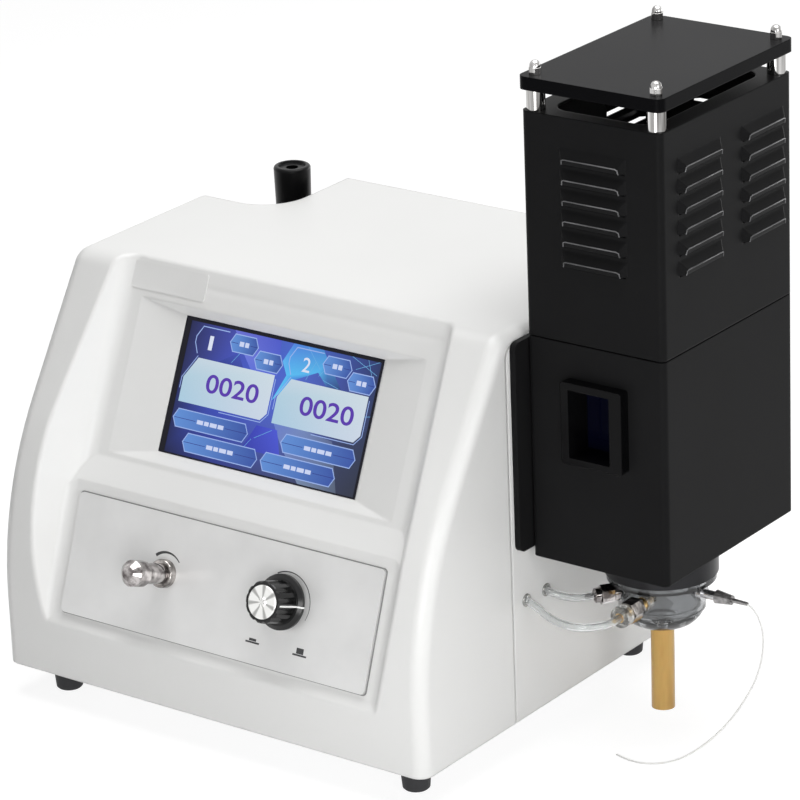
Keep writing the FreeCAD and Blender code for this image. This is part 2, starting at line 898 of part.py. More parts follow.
def make_rear_shell():
    wall = s.shell_wall
    gap = s.seam_gap
    front = s.seam_y + gap
    top = s.seam_z - gap
    corner = s.seam_corner - gap
    outer = [(front, 0), (s.cabinet_depth, 0), (s.cabinet_depth, top), (front + corner, top),
             (front, top - corner, corner)]
    solid = slab("rear_outer", [outer], s.cabinet_width, "YZ_Plane", both=True)

    def rear_upright(edge):
        middle = edge.CenterOfMass
        return middle.y > number(s.cabinet_depth) - 0.01 and abs(middle.x) > number(half_width) - 1

    solid = rounded_edges("rear_rounded", solid, rear_upright, s.rear_corner_radius)
    inner = slab("rear_cavity", [rounded(0 - half_width + wall, half_width - wall, -30,
                                         s.cabinet_depth - wall, s.rear_corner_radius - wall)],
                 s.cabinet_height + 20)
    place(inner, (0, 0, -5))
    hollow = cut_from("rear_hollow", inner, [
        notch_tool("notch_skin", wall, s.notch_floor - wall)])
    light = rod("light_opening", s.light_hole_radius, (half_width - 20, burner_y, s.flame_z), 40,
                (0, 1, 0), 90)
    holes = [hollow, notch_tool("notch_rear", 0, s.notch_floor), light]
    for i, (x, y, z) in enumerate(tube_ports()):
        holes.append(rod(f"tube_hole_{i + 1}", s.tube_radius + s.fit_gap, (x - 10, y, z), 20,
                         (0, 1, 0), 90))
    back = s.cabinet_depth
    holes.append(block("inlet_hole", s.inlet_x - s.socket_width / 2 - 2,
                       s.inlet_x + s.socket_width / 2 + 2, back - 10, back + 5,
                       s.inlet_z - s.socket_height / 2 - 2, s.inlet_z + s.socket_height / 2 + 2))
    holes.append(block("switch_hole", s.switch_x - s.switch_width / 2,
                       s.switch_x + s.switch_width / 2, back - 10, back + 5,
                       s.inlet_z - s.switch_height / 2, s.inlet_z + s.switch_height / 2))
    holes.append(rod("gas_inlet_hole", s.neck_radius, (s.gas_inlet_x, back + 5, s.gas_inlet_z), 20,
                     (1, 0, 0), 90))
    holes.append(rod("nipple_hole", s.nipple_radius + s.fit_gap,
                     (notch_right - 5, regulator_y, regulator_port_z), 20, (0, 1, 0), 90))
    shell = cut_from("rear_shell_body", solid, holes)
    return keep(shell, "rear_shell")


def make_base():
    gap = s.shell_wall + s.fit_gap
    plate = slab("base", [rounded(0 - half_width + gap, half_width - gap, gap,
                                  s.cabinet_depth - gap, s.side_edge_radius)], s.base_thickness)
    keep(plate, "base_plate")
    foot = turned("foot", [(0, 0 - s.foot_height), (s.foot_bottom_radius - 1, 0 - s.foot_height),
                           (s.foot_bottom_radius, 1 - s.foot_height), (s.foot_top_radius, 0),
                           (0, 0)])
    feet = []
    for i, (x, y) in enumerate(((-1, 0), (1, 0), (1, 1), (-1, 1))):
        at_x = x * (half_width - s.foot_inset_x)
        at_y = s.foot_inset_y if y == 0 else s.cabinet_depth - s.foot_inset_y
        feet.append(linked(f"foot_{i + 1}", foot, (at_x, at_y, 0)))
    gather("rubber_feet", feet)


def make_panel():
    bottom = s.plate_bottom
    plate = slab("panel", [
        rounded(0 - s.plate_width / 2, s.plate_width / 2, bottom, bottom + s.plate_height,
                s.plate_corner),
        ("circle", s.gas_x, s.gas_y, s.neck_radius + s.fit_gap),
        ("circle", s.fine_x, s.fine_y, s.needle_neck_radius + s.fit_gap)], s.plate_thickness)
    keep(on_panel(plate, 0, 0, 0), "control_panel")


def make_display():
    gap = s.glass_gap
    half_x = s.screen_width / 2 - gap
    half_y = s.screen_height / 2 - gap
    glass = slab("glass", [box_outline(0 - half_x, half_x, 0 - half_y, half_y)],
                 s.shell_wall)
    keep(on_face(glass, 0, 0, 0 - s.funnel_depth - s.shell_wall), "display_glass")
    rim_x = s.screen_width / 2 + s.module_rim
    rim_y = s.screen_height / 2 + s.module_rim
    module = slab("module", [box_outline(0 - rim_x, rim_x, 0 - rim_y, rim_y)], s.module_thickness)
    driver_x = s.driver_width / 2
    driver_y = s.driver_height / 2
    add_slab(module, [box_outline(0 - driver_x, driver_x, 0 - driver_y, driver_y)],
             s.driver_thickness, level=0, down=True)
    keep(on_face(module, 0, 0, 0 - s.funnel_depth - s.shell_wall - s.module_thickness),
         "display_module")


def make_electronics():
    floor = s.base_thickness
    board_z = floor + s.board_lift
    left = s.board_left
    front = s.board_front
    right = left + s.board_width
    back = front + s.board_depth
    board = slab("board", [box_outline(left, right, front, back)], s.board_thickness,
                 level=board_z)
    inset = s.board_post_inset
    posts = [("circle", x, y, s.board_post_radius) for x in (left + inset, right - inset)
             for y in (front + inset, back - inset)]
    add_slab(board, posts, s.board_lift, level=board_z, down=True)
    chips = [chip_outline(left + x, front + y, width, depth) for x, y, width, depth in
             ((30, 20, 22, 22), (80, 70, 40, 15), (15, 80, 30, 12), (84, 20, 32, 20))]
    add_slab(board, chips, s.chip_height, level=board_z + s.board_thickness)
    keep(board, "main_board")
    left = s.supply_left
    front = s.supply_front
    top = floor + s.supply_height
    supply = slab("supply", [chip_outline(left, front, s.supply_width, s.supply_depth)],
                  s.supply_height, level=floor)
    terminal_front = front + (s.supply_depth - s.terminal_length) / 2
    bore(supply, [chip_outline(left + s.terminal_inset, terminal_front, s.terminal_width,
                               s.terminal_length)], depth=s.terminal_depth, level=top)
    keep(supply, "power_supply")


def chip_outline(x, y, width, depth):
    return box_outline(x, x + width, y, y + depth)


# ---- gas valve: the stem slides in a rotor that turns in the valve body ----

knob_lift = s.knob_clearance + s.knob_push
stem_top = (s.plate_thickness + knob_lift + s.skirt_height + s.grip_height
            - s.stem_short)


def stem_outline(clearance):
    """A round stem with one flat, as corners of its cross-section."""
    radius = s.stem_radius + clearance
    flat = s.stem_flat + clearance
    half = root_of(radius * radius - flat * flat)
    return [(flat, 0 - half), (flat, half), (0 - radius, 0, radius), (flat, 0 - half, radius)][1:]


def make_gas_valve():
    wall = s.shell_wall
    body_top = 0 - wall
    body = slab("gas_body", [("circle", 0, 0, s.gas_body_radius)], s.gas_body_length,
                level=body_top - s.gas_body_length)
    add_slab(body, [("circle", 0, 0, s.neck_radius)],
             wall + s.plate_thickness + s.valve_nut_height - 0.5, level=body_top)
    bore(body, [("circle", 0, 0, s.stem_radius + s.running_gap * 2)])
    bore(body, [("circle", 0, 0, s.rotor_radius + s.running_gap)],
         depth=s.rotor_length + 2 * s.running_gap, level=body_top - s.rotor_level)
    ports = [rod(f"gas_body_port_{side}", s.valve_port_radius,
                 panel_point(s.gas_x, s.gas_y - direction * (s.gas_body_radius - s.valve_port_sink),
                             body_top - s.gas_port_level),
                 s.valve_port_length, (1, 0, 0),
                 (0 - s.panel_tilt) if direction < 0 else (180 - s.panel_tilt))
             for side, direction in (("top", -1), ("bottom", 1))]
    on_panel(body, s.gas_x, s.gas_y, 0)
    keep(joined("gas_valve_casting", [body] + ports), "gas_valve_body")
    rotor = slab("rotor", [("circle", 0, 0, s.rotor_radius)], s.rotor_length,
                 level=body_top - s.rotor_level - s.rotor_length - s.running_gap)
    bore(rotor, [stem_outline(s.running_gap)])
    keep(on_panel(rotor, s.gas_x, s.gas_y, 0), "gas_valve_rotor")
    stem = slab("stem", [stem_outline(0)], s.stem_length,
                level=stem_top - s.stem_length)
    keep(on_panel(stem, s.gas_x, s.gas_y, 0), "gas_valve_stem")
    nut = slab("valve_nut", [hexagon(s.valve_nut_across),
                             ("circle", 0, 0, s.neck_radius + s.running_gap)],
               s.valve_nut_height, level=s.plate_thickness)
    keep(on_panel(nut, s.gas_x, s.gas_y, 0), "gas_valve_nut")


def hexagon(across):
    corner = across / root_of(3)
    return [(corner, 0), (corner / 2, across / 2), (0 - corner / 2, across / 2), (0 - corner, 0),
            (0 - corner / 2, 0 - across / 2), (corner / 2, 0 - across / 2)]


def make_gas_knob():
    bottom = s.plate_thickness + knob_lift
    skirt_top = bottom + s.skirt_height
    top = skirt_top + s.grip_height
    knob = turned("knob", [
        (s.knob_hollow_radius, bottom), (s.skirt_radius, bottom),
        (s.skirt_radius, skirt_top - s.skirt_slope), (s.grip_radius + s.knob_edge, skirt_top),
        (s.grip_radius, skirt_top), (s.grip_top_radius, top - s.knob_edge),
        (s.grip_top_radius - s.knob_edge, top),
        (s.cap_radius + s.running_gap, top), (s.cap_radius + s.running_gap, top - s.cap_thickness),
        (0, top - s.cap_thickness), (0, bottom + s.knob_hollow_depth),
        (s.knob_hollow_radius, bottom + s.knob_hollow_depth)])
    doc.recompute()
    out = s.grip_radius + s.flute_offset
    turn = 180 / s.grip_flutes
    flute = draw(knob, "XY_Plane", [("circle", out * cos_of(turn), out * sin_of(turn),
                                     s.flute_radius)], skirt_top + 0.4)
    groove = knob.newObject("PartDesign::Pocket", "flute")
    groove.Profile = (flute, [""])
    groove.Reversed = True
    bind(groove, "Length", s.grip_height)
    around = knob.newObject("PartDesign::PolarPattern", "flutes")
    around.Originals = [groove]
    around.Axis = (flute, ["N_Axis"])
    around.Angle = 360
    bind(around, "Occurrences", s.grip_flutes)
    knob.Tip = around
    bore(knob, [stem_outline(s.running_gap * 0.4)], depth=stem_top + 1, level=stem_top)
    keep(on_panel(knob, s.gas_x, s.gas_y, 0), "gas_knob")
    cap = turned("cap", [(0, top - s.cap_thickness), (s.cap_radius, top - s.cap_thickness),
                         (s.cap_radius, top + 0.2), (s.cap_radius - 0.6, top + 0.6),
                         (s.cap_radius * 0.32, top + 0.3), (s.cap_radius * 0.24, top + 0.9),
                         (0, top + 1.0)])
    keep(on_panel(cap, s.gas_x, s.gas_y, 0), "gas_knob_cap")


# ---- fine adjustment: the knob's threaded spindle drives a needle that only slides ----

def make_needle_valve():
    wall = s.shell_wall
    body_top = 0 - wall
    neck_top = s.plate_thickness + s.bushing_height
    body = slab("needle_body", [("circle", 0, 0, s.needle_body_radius)], s.needle_body_length,
                level=body_top - s.needle_body_length)
    add_slab(body, [("circle", 0, 0, s.needle_neck_radius)], neck_top - body_top - 0.5,
             level=body_top)
    spindle_low = neck_top + s.fine_stem_gap - s.spindle_length
    bore(body, [("circle", 0, 0, s.spindle_radius + s.running_gap)],
         depth=s.spindle_length + 2, level=neck_top)
    bore(body, [("circle", 0, 0, s.needle_radius + s.running_gap)],
         depth=s.needle_length + s.needle_cone - 3, level=spindle_low)
    ports = [rod(f"needle_port_{side}", s.valve_port_radius,
                 panel_point(s.fine_x, s.fine_y - direction * (s.needle_body_radius - s.valve_port_sink),
                             body_top - s.needle_port_level),
                 s.valve_port_length, (1, 0, 0),
                 (0 - s.panel_tilt) if direction < 0 else (180 - s.panel_tilt))
             for side, direction in (("top", -1), ("bottom", 1))]
    on_panel(body, s.fine_x, s.fine_y, 0)
    keep(joined("needle_valve_casting", [body] + ports), "needle_valve_body")
    bushing = turned("bushing", [
        (s.needle_neck_radius + s.running_gap, s.plate_thickness),
        (s.bushing_radius, s.plate_thickness), (s.bushing_radius, neck_top - s.bushing_edge),
        (s.bushing_radius - s.bushing_edge, neck_top, s.bushing_edge),
        (s.needle_neck_radius + s.running_gap, neck_top)])
    keep(on_panel(bushing, s.fine_x, s.fine_y, 0), "fine_adjust_bushing")
    stem_low = neck_top + s.fine_stem_gap
    grip_low = stem_low + s.fine_stem_length
    grip_top = grip_low + s.fine_knob_length
    knob = turned("fine_knob", [
        (s.needle_radius + s.running_gap, spindle_low + 0.5), (s.spindle_radius, spindle_low + 0.5),
        (s.spindle_radius, stem_low), (s.fine_stem_radius, stem_low),
        (s.fine_stem_radius, grip_low - s.fine_neck), (s.fine_knob_radius - s.fine_edge, grip_low),
        (s.fine_knob_radius, grip_low + s.fine_edge), (s.fine_knob_radius, grip_top),
        (s.fine_tip_radius, grip_top + s.fine_tip_length),
        (0, grip_top + s.fine_tip_length + 0.6), (0, stem_low),
        (s.needle_radius + s.running_gap, stem_low)])
    doc.recompute()
    facet_low = grip_low - 1
    half = tan_of(180 / s.fine_facets) * s.fine_knob_radius
    deep = s.fine_knob_radius * cos_of(180 / s.fine_facets) + 0.12
    facet = draw(knob, "XY_Plane", [box_outline(deep, deep + 4, 0 - half - 1, half + 1)], facet_low)
    flat = knob.newObject("PartDesign::Pocket", "facet")
    flat.Profile = (facet, [""])
    flat.Reversed = True
    bind(flat, "Length", s.fine_knob_length + 1)
    around = knob.newObject("PartDesign::PolarPattern", "facets")
    around.Originals = [flat]
    around.Axis = (facet, ["N_Axis"])
    around.Angle = 360
    bind(around, "Occurrences", s.fine_facets)
    knob.Tip = around
    keep(on_panel(knob, s.fine_x, s.fine_y, 0), "fine_adjust_knob")
    needle_top = spindle_low + s.needle_grip
    needle = turned("needle", [
        (0, needle_top - s.needle_length - s.needle_cone),
        (0.4, needle_top - s.needle_length - s.needle_cone),
        (s.needle_radius, needle_top - s.needle_length), (s.needle_radius, needle_top),
        (0, needle_top)])
    keep(on_panel(needle, s.fine_x, s.fine_y, 0), "valve_needle")


# ---- air regulator in the corner pocket ----

notch_right = 0 - half_width + s.notch_width
regulator_knob_low = s.regulator_top - s.regulator_knob_length
regulator_body_top = regulator_knob_low - 2 - s.bonnet_height / 2
regulator_body_low = regulator_body_top - s.regulator_body_height
regulator_port_z = regulator_body_top - s.regulator_body_height / 2


def at_regulator(piece):
    return place(piece, (regulator_x, regulator_y, 0))


def make_regulator():
    half = s.regulator_body_width / 2
    bonnet_top = regulator_body_top + s.bonnet_height
    body = slab("regulator", [rounded(0 - half, half, 0 - half, half, 2)],
                s.regulator_body_height, level=regulator_body_low)
    add_slab(body, [("circle", 0, 0, s.bonnet_radius)], s.bonnet_height, level=regulator_body_top)
    bore(body, [("circle", 0, 0, s.regulator_screw_radius + s.running_gap)],
         depth=s.bonnet_height + s.screw_sink + 1, level=bonnet_top)
    at_regulator(body)
    nipple = rod("nipple", s.nipple_radius, (regulator_x + half - 1, regulator_y,
                                             regulator_port_z),
                 notch_right + s.shell_wall + s.nipple_reach - regulator_x - half, (0, 1, 0), 90)
    keep(joined("regulator_casting", [body, nipple]), "regulator_body")
    screw = slab("regulator_screw_rod", [("circle", 0, 0, s.regulator_screw_radius)],
                 s.bonnet_height + s.screw_sink + s.screw_reach,
                 level=regulator_body_top - s.screw_sink)
    keep(at_regulator(screw), "regulator_screw")
    inner = s.bonnet_radius + s.fit_gap
    top = s.regulator_top
    low_radius = s.regulator_knob_radius - s.regulator_taper
    edge = s.regulator_edge
    rim = s.regulator_rim
    knob = turned("regulator_cap", [
        (inner, regulator_knob_low), (low_radius, regulator_knob_low),
        (s.regulator_knob_radius, top - edge), (s.regulator_knob_radius - edge, top, edge),
        (s.regulator_knob_radius - rim, top),
        (s.regulator_knob_radius - rim - s.regulator_dish / 2, top - s.regulator_dish),
        (s.regulator_screw_radius + s.running_gap, top - s.regulator_dish),
        (s.regulator_screw_radius + s.running_gap, bonnet_top + 4), (inner, bonnet_top + 4)])
    keep(at_regulator(knob), "regulator_knob")
    bowl_top = regulator_body_low
    wall = s.bowl_wall
    bowl_low = bowl_top - s.bowl_length
    bowl = turned("bowl", [
        (s.bowl_radius - wall, bowl_top), (s.bowl_radius, bowl_top),
        (s.bowl_radius, bowl_low + s.bowl_radius),
        (4 + wall, bowl_low + 2), (4 + wall, bowl_low - 4), (2, bowl_low - 4), (2, bowl_low + 4),
        (s.bowl_radius - wall, bowl_low + s.bowl_radius)])
    keep(at_regulator(bowl), "filter_bowl")
    level = regulator_body_top
    clear = s.bonnet_radius + s.fit_gap
    bracket = slab("bracket", [
        box_outline(0 - half, notch_right - regulator_x, 0 - half, half),
        ("circle", 0, 0, clear)], s.bracket_thickness, level=level)
    add_slab(bracket, [box_outline(notch_right - regulator_x - s.bracket_thickness,
                                   notch_right - regulator_x, 0 - half, half)],
             s.bracket_height, level=level)
    keep(at_regulator(bracket), "regulator_bracket")


def barb(name, neck, length):
    """A hose barb turned about Z: a collar, a plain stretch, then a groove and a tapered nose."""
    r = s.hose_barb_radius
    hole = s.hose_bore_radius
    nose = length - s.barb_nose_length
    collar = s.barb_collar
    return turned(name, [
        (hole, 0 - neck), (r - 0.5, 0 - neck), (r - 0.5, 0), (r + collar, 0),
        (r + collar, s.barb_collar_length), (r, s.barb_collar_length),
        (r, nose - 2), (r - s.barb_groove, nose), (r, nose), (r - s.barb_groove, length),
        (hole, length)])


def make_rear_fittings():
    half = s.regulator_body_width / 2
    air = barb("air_barb", 0.01, s.hose_barb_length)
    place(air, (regulator_x, regulator_y + half, regulator_port_z), (1, 0, 0), -90)
    keep(air, "air_inlet")
    gas = barb("gas_barb", s.shell_wall + 8, s.hose_barb_length + 2)
    place(gas, (s.gas_inlet_x, s.cabinet_depth, s.gas_inlet_z), (1, 0, 0), -90)
    keep(gas, "gas_inlet")
    w = s.inlet_width / 2
    h = s.inlet_height / 2
    sw = s.socket_width / 2
    sh = s.socket_height / 2
    depth = s.socket_depth
    flange = slab("inlet_flange", [[(0 - w, 0), (0 - w + h, 0 - h), (w - h, 0 - h), (w, 0),
                                    (w - h, h), (0 - w + h, h)]], s.flange_thickness)
    shroud = s.socket_wall
    add_slab(flange, [box_outline(0 - sw - shroud, sw + shroud, 0 - sh - shroud, sh + shroud)],
             depth + 2, level=0, down=True)
    bore(flange, [box_outline(0 - sw, sw, 0 - sh, sh)], depth=depth, level=s.flange_thickness)
    pins = [box_outline(x - 1, x + 1, y - 2, y + 2) for x, y in ((-7, -1.5), (7, -1.5), (0, 2.5))]
    add_slab(flange, pins, s.pin_length, level=s.flange_thickness - depth)
    place(flange, (s.inlet_x, s.cabinet_depth, s.inlet_z), (1, 0, 0), -90)
    keep(flange, "power_inlet")
    make_switch()


def make_switch():
    w = s.switch_width / 2 - s.fit_gap
    h = s.switch_height / 2 - s.fit_gap
    wall = s.switch_wall
    rim = s.switch_rim
    frame = slab("switch_box", [box_outline(0 - w - rim, w + rim, 0 - h - rim, h + rim)], rim)
    add_slab(frame, [box_outline(0 - w, w, 0 - h, h)], s.switch_depth, level=0, down=True)
    bore(frame, [box_outline(0 - w + wall, w - wall, 0 - h + wall, h - wall)],
         depth=s.switch_depth, level=rim)
    reach_out = 2 * (h - wall + s.pivot_seat)
    seat = s.running_gap
    bore_both(frame, [("circle", 0, s.pivot_level, s.pivot_radius + seat)], "XZ_Plane", reach_out)
    at = (s.switch_x, s.cabinet_depth, s.inlet_z)
    keep(place(frame, at, (1, 0, 0), -90), "switch_frame")
    reach = w - wall - s.fit_gap - 0.5
    tilt = tan_of(s.rocker_tilt)
    side = h - wall - s.fit_gap
    crown = s.rocker_crown
    rocker = slab("rocker", [[(0 - reach, crown - reach * tilt), (0, crown - 0.9),
                              (reach, crown + reach * tilt), (reach, -0.5),
                              (s.rocker_keel, 0 - s.rocker_depth),
                              (0 - s.rocker_keel, 0 - s.rocker_depth), (0 - reach, -2.5)]],
                  2 * side, "XZ_Plane", both=True)
    add_both(rocker, [("circle", 0, s.pivot_level, s.pivot_radius)], reach_out - 2 * s.fit_gap,
             "XZ_Plane")
    keep(place(rocker, at, (1, 0, 0), -90), "switch_rocker")


# ---- optics: lens, beam splitter, two filters and their detectors ----

burner_left = half_width + s.plate_gap
burner_right = burner_left + s.burner_width
burner_back = s.burner_front + s.burner_depth
burner_x = burner_left + s.burner_width / 2 - s.burner_shift
burner_y = s.burner_front + s.burner_depth / 2


def make_optics():
    z = s.flame_z
    r = s.light_hole_radius - s.barrel_gap
    length = s.barrel_length
    rim = r - s.barrel_wall
    barrel_left = half_width - s.shell_wall - length
    barrel = turned("barrel", [
        (rim, 0), (r, 0), (r, length - s.barrel_rim), (r + 2 * s.barrel_wall, length - s.barrel_rim),
        (r + 2 * s.barrel_wall, length), (rim, length)])
    keep(place(barrel, (barrel_left, burner_y, z), (0, 1, 0), 90), "lens_barrel")
    bulge = s.lens_radius - root_of(s.lens_radius * s.lens_radius - rim * rim)
    low = s.lens_level
    high = low + s.lens_edge
    lens = turned("lens", [(0, low - bulge), (rim, low, s.lens_radius), (rim, high),
                           (0, high + bulge, s.lens_radius)])
    keep(place(lens, (barrel_left, burner_y, z), (0, 1, 0), 90), "condenser_lens")
    half = s.optics_half
    middle = s.optics_length / 2
    arm = half + s.optics_arm
    sight = rim - 1
    hollow = s.optics_hollow_half
    hollow_x = s.optics_hollow_length / 2
    body = slab("optics_box", [box_outline(0 - s.optics_length, 0, 0 - half, arm)], 2 * half,
                level=0 - half)
    bore(body, [box_outline(0 - middle - hollow_x, hollow_x - middle, 0 - hollow, hollow)],
         depth=s.optics_hollow_depth, level=s.optics_hollow_depth / 2 + 1)
    bore(body, [("circle", 0, 0, sight)], "YZ_Plane")
    bore(body, [("circle", 0 - middle, 0, sight)], "XZ_Plane", depth=arm + 16)
    foot_left = 0 - middle - hollow_x
    foot = s.optics_foot_width / 2
    add_slab(body, [box_outline(foot_left, foot_left + s.optics_foot_length, 0 - foot, foot)],
             z - half - s.base_thickness, level=0 - half, down=True)
    keep(place(body, (barrel_left, burner_y, z)), "optics_block")
    reach = root_of(2) * hollow - 1.15
    mirror = slab("mirror", [box_outline(0 - reach, reach, 0.2 - hollow, 14)],
                  s.splitter_thickness, "YZ_Plane", both=True)
    keep(place(mirror, (barrel_left - middle, burner_y, z), (0, 0, 1), 45), "beam_splitter")
    thick = s.filter_thickness
    back = thick + s.detector_length
    left = (barrel_left - s.optics_length, burner_y, z)
    rear = (barrel_left - middle, burner_y + arm, z)
    for label, at, axis, angle in (("potassium_filter", left, (0, 1, 0), -90),
                                   ("sodium_filter", rear, (1, 0, 0), -90)):
        disc = turned(label + "_disc", [(0, 0), (sight + 2, 0), (sight + 2, thick), (0, thick)])
        keep(place(disc, at, axis, angle), label)
    detector = turned("detector", [
        (0, thick), (s.detector_radius, thick), (s.detector_radius, back),
        (s.detector_board_radius, back), (s.detector_board_radius, back + s.detector_board),
        (0, back + s.detector_board)])
    gather("light_detectors", [linked("detector_1", detector, left, (0, 1, 0), -90),
                               linked("detector_2", detector, rear, (1, 0, 0), -90)])


# ---- burner housing ----

def cover_outline(inset):
    corner = s.sheet_bend - inset
    return rounded(burner_left + inset, burner_right - inset, s.burner_front + inset,
                   burner_back - inset, corner)


def make_side_plate():
    y0 = s.burner_front - s.side_plate_rim
    y1 = burner_back + s.side_plate_rim
    plate = slab("mount_plate", [
        rounded(y0, y1, s.side_plate_bottom, s.side_plate_top, s.side_plate_corner),
        ("circle", burner_y, s.flame_z, s.light_hole_radius)], s.plate_gap, "YZ_Plane",
        level=half_width)
    keep(plate, "side_plate")


def make_lower_cover():
    top = s.burner_seam - s.burner_seam_gap / 2
    height = top - s.burner_bottom
    cover = slab("lower_box", [cover_outline(0)], height, level=s.burner_bottom)
    add_slab(cover, [cover_outline(s.sheet + s.running_gap * 2)], s.lip_height, level=top)
    bore(cover, [cover_outline(2 * s.sheet)], depth=2 * s.lip_height, level=top + s.lip_height)
    bore(cover, [cover_outline(s.sheet)], depth=height - s.lip_height - s.sheet,
         level=top - s.lip_height)
    bore(cover, [("circle", burner_x, burner_y, s.floor_hole_radius)], depth=20,
         level=s.burner_bottom + 10)
    bore(cover, [window_outline(s.sleeve_step + s.sleeve_wall + s.running_gap)],
         "XZ_Plane", depth=40, level=0 - s.burner_front - 20, up=True)
    bore(cover, [("circle", burner_y, s.flame_z, s.light_hole_radius)], "YZ_Plane", depth=20,
         level=burner_left + 10)
    keep(cover, "lower_cover")


def make_upper_cover():
    low = s.burner_seam + s.burner_seam_gap / 2
    box = slab("upper_box", [cover_outline(0)], s.burner_top - low, level=low)
    bore(box, [cover_outline(s.sheet)], depth=s.burner_top - low - s.sheet,
         level=s.burner_top - s.sheet)
    inset = s.top_flange
    inset_y = s.top_flange_front
    bore(box, [rounded(burner_left + inset, burner_right - inset, s.burner_front + inset_y,
                       burner_back - inset_y, s.flange_corner)], depth=10,
         level=s.burner_top + 5)
    hoods, slots = [], []
    thin = s.louvre_sheet
    half = s.louvre_length / 2
    hood = louvre("hood", s.louvre_depth, s.louvre_height, half, s.sheet / 2, 0)
    slot = louvre("slot", s.louvre_depth - thin, s.louvre_height - thin, half - thin,
                  s.sheet + 1, 1)
    middle_x = burner_left + s.burner_width / 2 + s.louvre_front_shift
    side_y = burner_y + s.louvre_side_shift
    step = s.louvre_side_step / 2
    columns = [
        (middle_x, s.burner_front, 0), (middle_x, burner_back, 180),
        (burner_right, side_y - step, 90), (burner_right, side_y + step, 90),
        (burner_left, side_y - step, -90), (burner_left, side_y + step, -90)]
    for c, (x, y, turn) in enumerate(columns):
        for row in range(int(number(s.louvre_rows))):
            z = s.louvre_first - row * s.louvre_pitch
            at = (x, y, z)
            hoods.append(linked(f"hood_{c}_{row}", hood, at, (0, 0, 1), turn))
            slots.append(linked(f"slot_{c}_{row}", slot, at, (0, 0, 1), turn))
    with_hoods = joined("hooded_box", [box] + hoods)
    keep(cut_from("upper_cover_body", with_hoods, slots), "upper_cover")


def louvre(name, depth, height, half, inside, drop):
    """A hood standing out of the plane y = 0 towards -Y, with its open side down.

    From the sheet it slopes out to a crest and turns back a little to the lip; its ends are
    mitred. With a drop it goes on below the lip, which makes it a cutter for the space inside.
    """
    run = slab(f"{name}_run", [[
        (inside, 0 - drop), (inside, height), (0, height), (0 - depth, height * s.louvre_crest),
        (0 - depth * s.louvre_lip, 0 - drop)]], 2 * s.louvre_length, "YZ_Plane", both=True)
    plan = slab(f"{name}_plan", [[
        (half, 0), (half, inside), (0 - half, inside), (0 - half, 0),
        (depth - half, 0 - depth), (half - depth, 0 - depth)]], 4 * s.louvre_height,
        level=0 - 2 * s.louvre_height)
    whole = doc.addObject("Part::Common", name)
    whole.Base = run
    whole.Tool = plan
    return whole


def make_lid():
    top = s.burner_top + s.lid_gap + s.lid_height
    over = s.lid_overhang
    corner = s.sheet_bend + over
    outer = rounded(burner_left - over, burner_right + over, s.burner_front - over,
                    burner_back + over, corner)
    lid = slab("lid_box", [outer], s.lid_height, level=top - s.lid_height)
    inset = s.sheet
    inner = rounded(burner_left - over + inset, burner_right + over - inset,
                    s.burner_front - over + inset, burner_back + over - inset, corner - inset)
    bore(lid, [inner], depth=s.lid_height - s.sheet, level=top - s.sheet)
    inset = s.standoff_inset
    posts = [(x, y) for x in (burner_left + inset, burner_right - inset)
             for y in (s.burner_front + inset, burner_back - inset)]
    bore(lid, [("circle", x, y, s.stud_radius + 2 * s.running_gap) for x, y in posts])
    keep(lid, "lid")
    length = s.lid_gap + s.lid_height - s.sheet
    standoff = turned("standoff", [
        (0, 0), (s.standoff_radius, 0), (s.standoff_radius, length), (s.stud_radius, length),
        (s.stud_radius, length + s.sheet + s.stud_reach), (0, length + s.sheet + s.stud_reach)])
    gather("lid_standoffs", [linked(f"standoff_{i}", standoff, (x, y, s.burner_top))
                             for i, (x, y) in enumerate(posts)])
    hex_height = s.nut_height / 2
    nut = slab("acorn_nut", [hexagon(s.nut_across)], hex_height)
    dome = s.nut_across / 2 - s.nut_dome_gap
    add_turned(nut, [(0, hex_height - 0.5), (dome, hex_height - 0.5),
                     (dome, s.nut_height - dome), (0, s.nut_height, dome)])
    bore(nut, [("circle", 0, 0, s.stud_radius + s.running_gap)], depth=s.stud_reach + 0.2,
         level=s.stud_reach + 0.2)
    gather("lid_nuts", [linked(f"nut_{i}", nut, (x, y, top)) for i, (x, y) in enumerate(posts)])


def window_outline(extra):
    """The window's opening in its frame, made larger all round by this much."""
    x = burner_left + s.burner_width / 2 + s.window_shift - s.window_open_shift
    half_w = s.window_open_width / 2 + extra
    half_h = s.window_open_height / 2 + extra
    return box_outline(x - half_w, x + half_w, s.window_z - half_h, s.window_z + half_h)


def make_window():
    """The bezel stands on the cover, its sleeve goes in, and the glass closes the sleeve."""
    x = burner_left + s.burner_width / 2 + s.window_shift
    z = s.window_z
    w, h = s.window_width / 2, s.window_height / 2
    frame = slab("bezel", [rounded(x - w, x + w, z - h, z + h, s.window_corner),
                           window_outline(0)], s.window_proud, "XZ_Plane",
                 level=0 - s.burner_front)
    add_slab(frame, [window_outline(s.sleeve_step + s.sleeve_wall), window_outline(s.sleeve_step)],
             s.sheet + s.sleeve_depth, "XZ_Plane", level=0 - s.burner_front, down=True)
    keep(frame, "window_frame")
    glass = slab("blue_glass", [window_outline(s.sleeve_step + s.sleeve_wall)],
                 s.glass_thickness, "XZ_Plane", level=0 - s.burner_front - s.sheet
                 - s.sleeve_depth - s.glass_thickness)
    keep(glass, "window_glass")


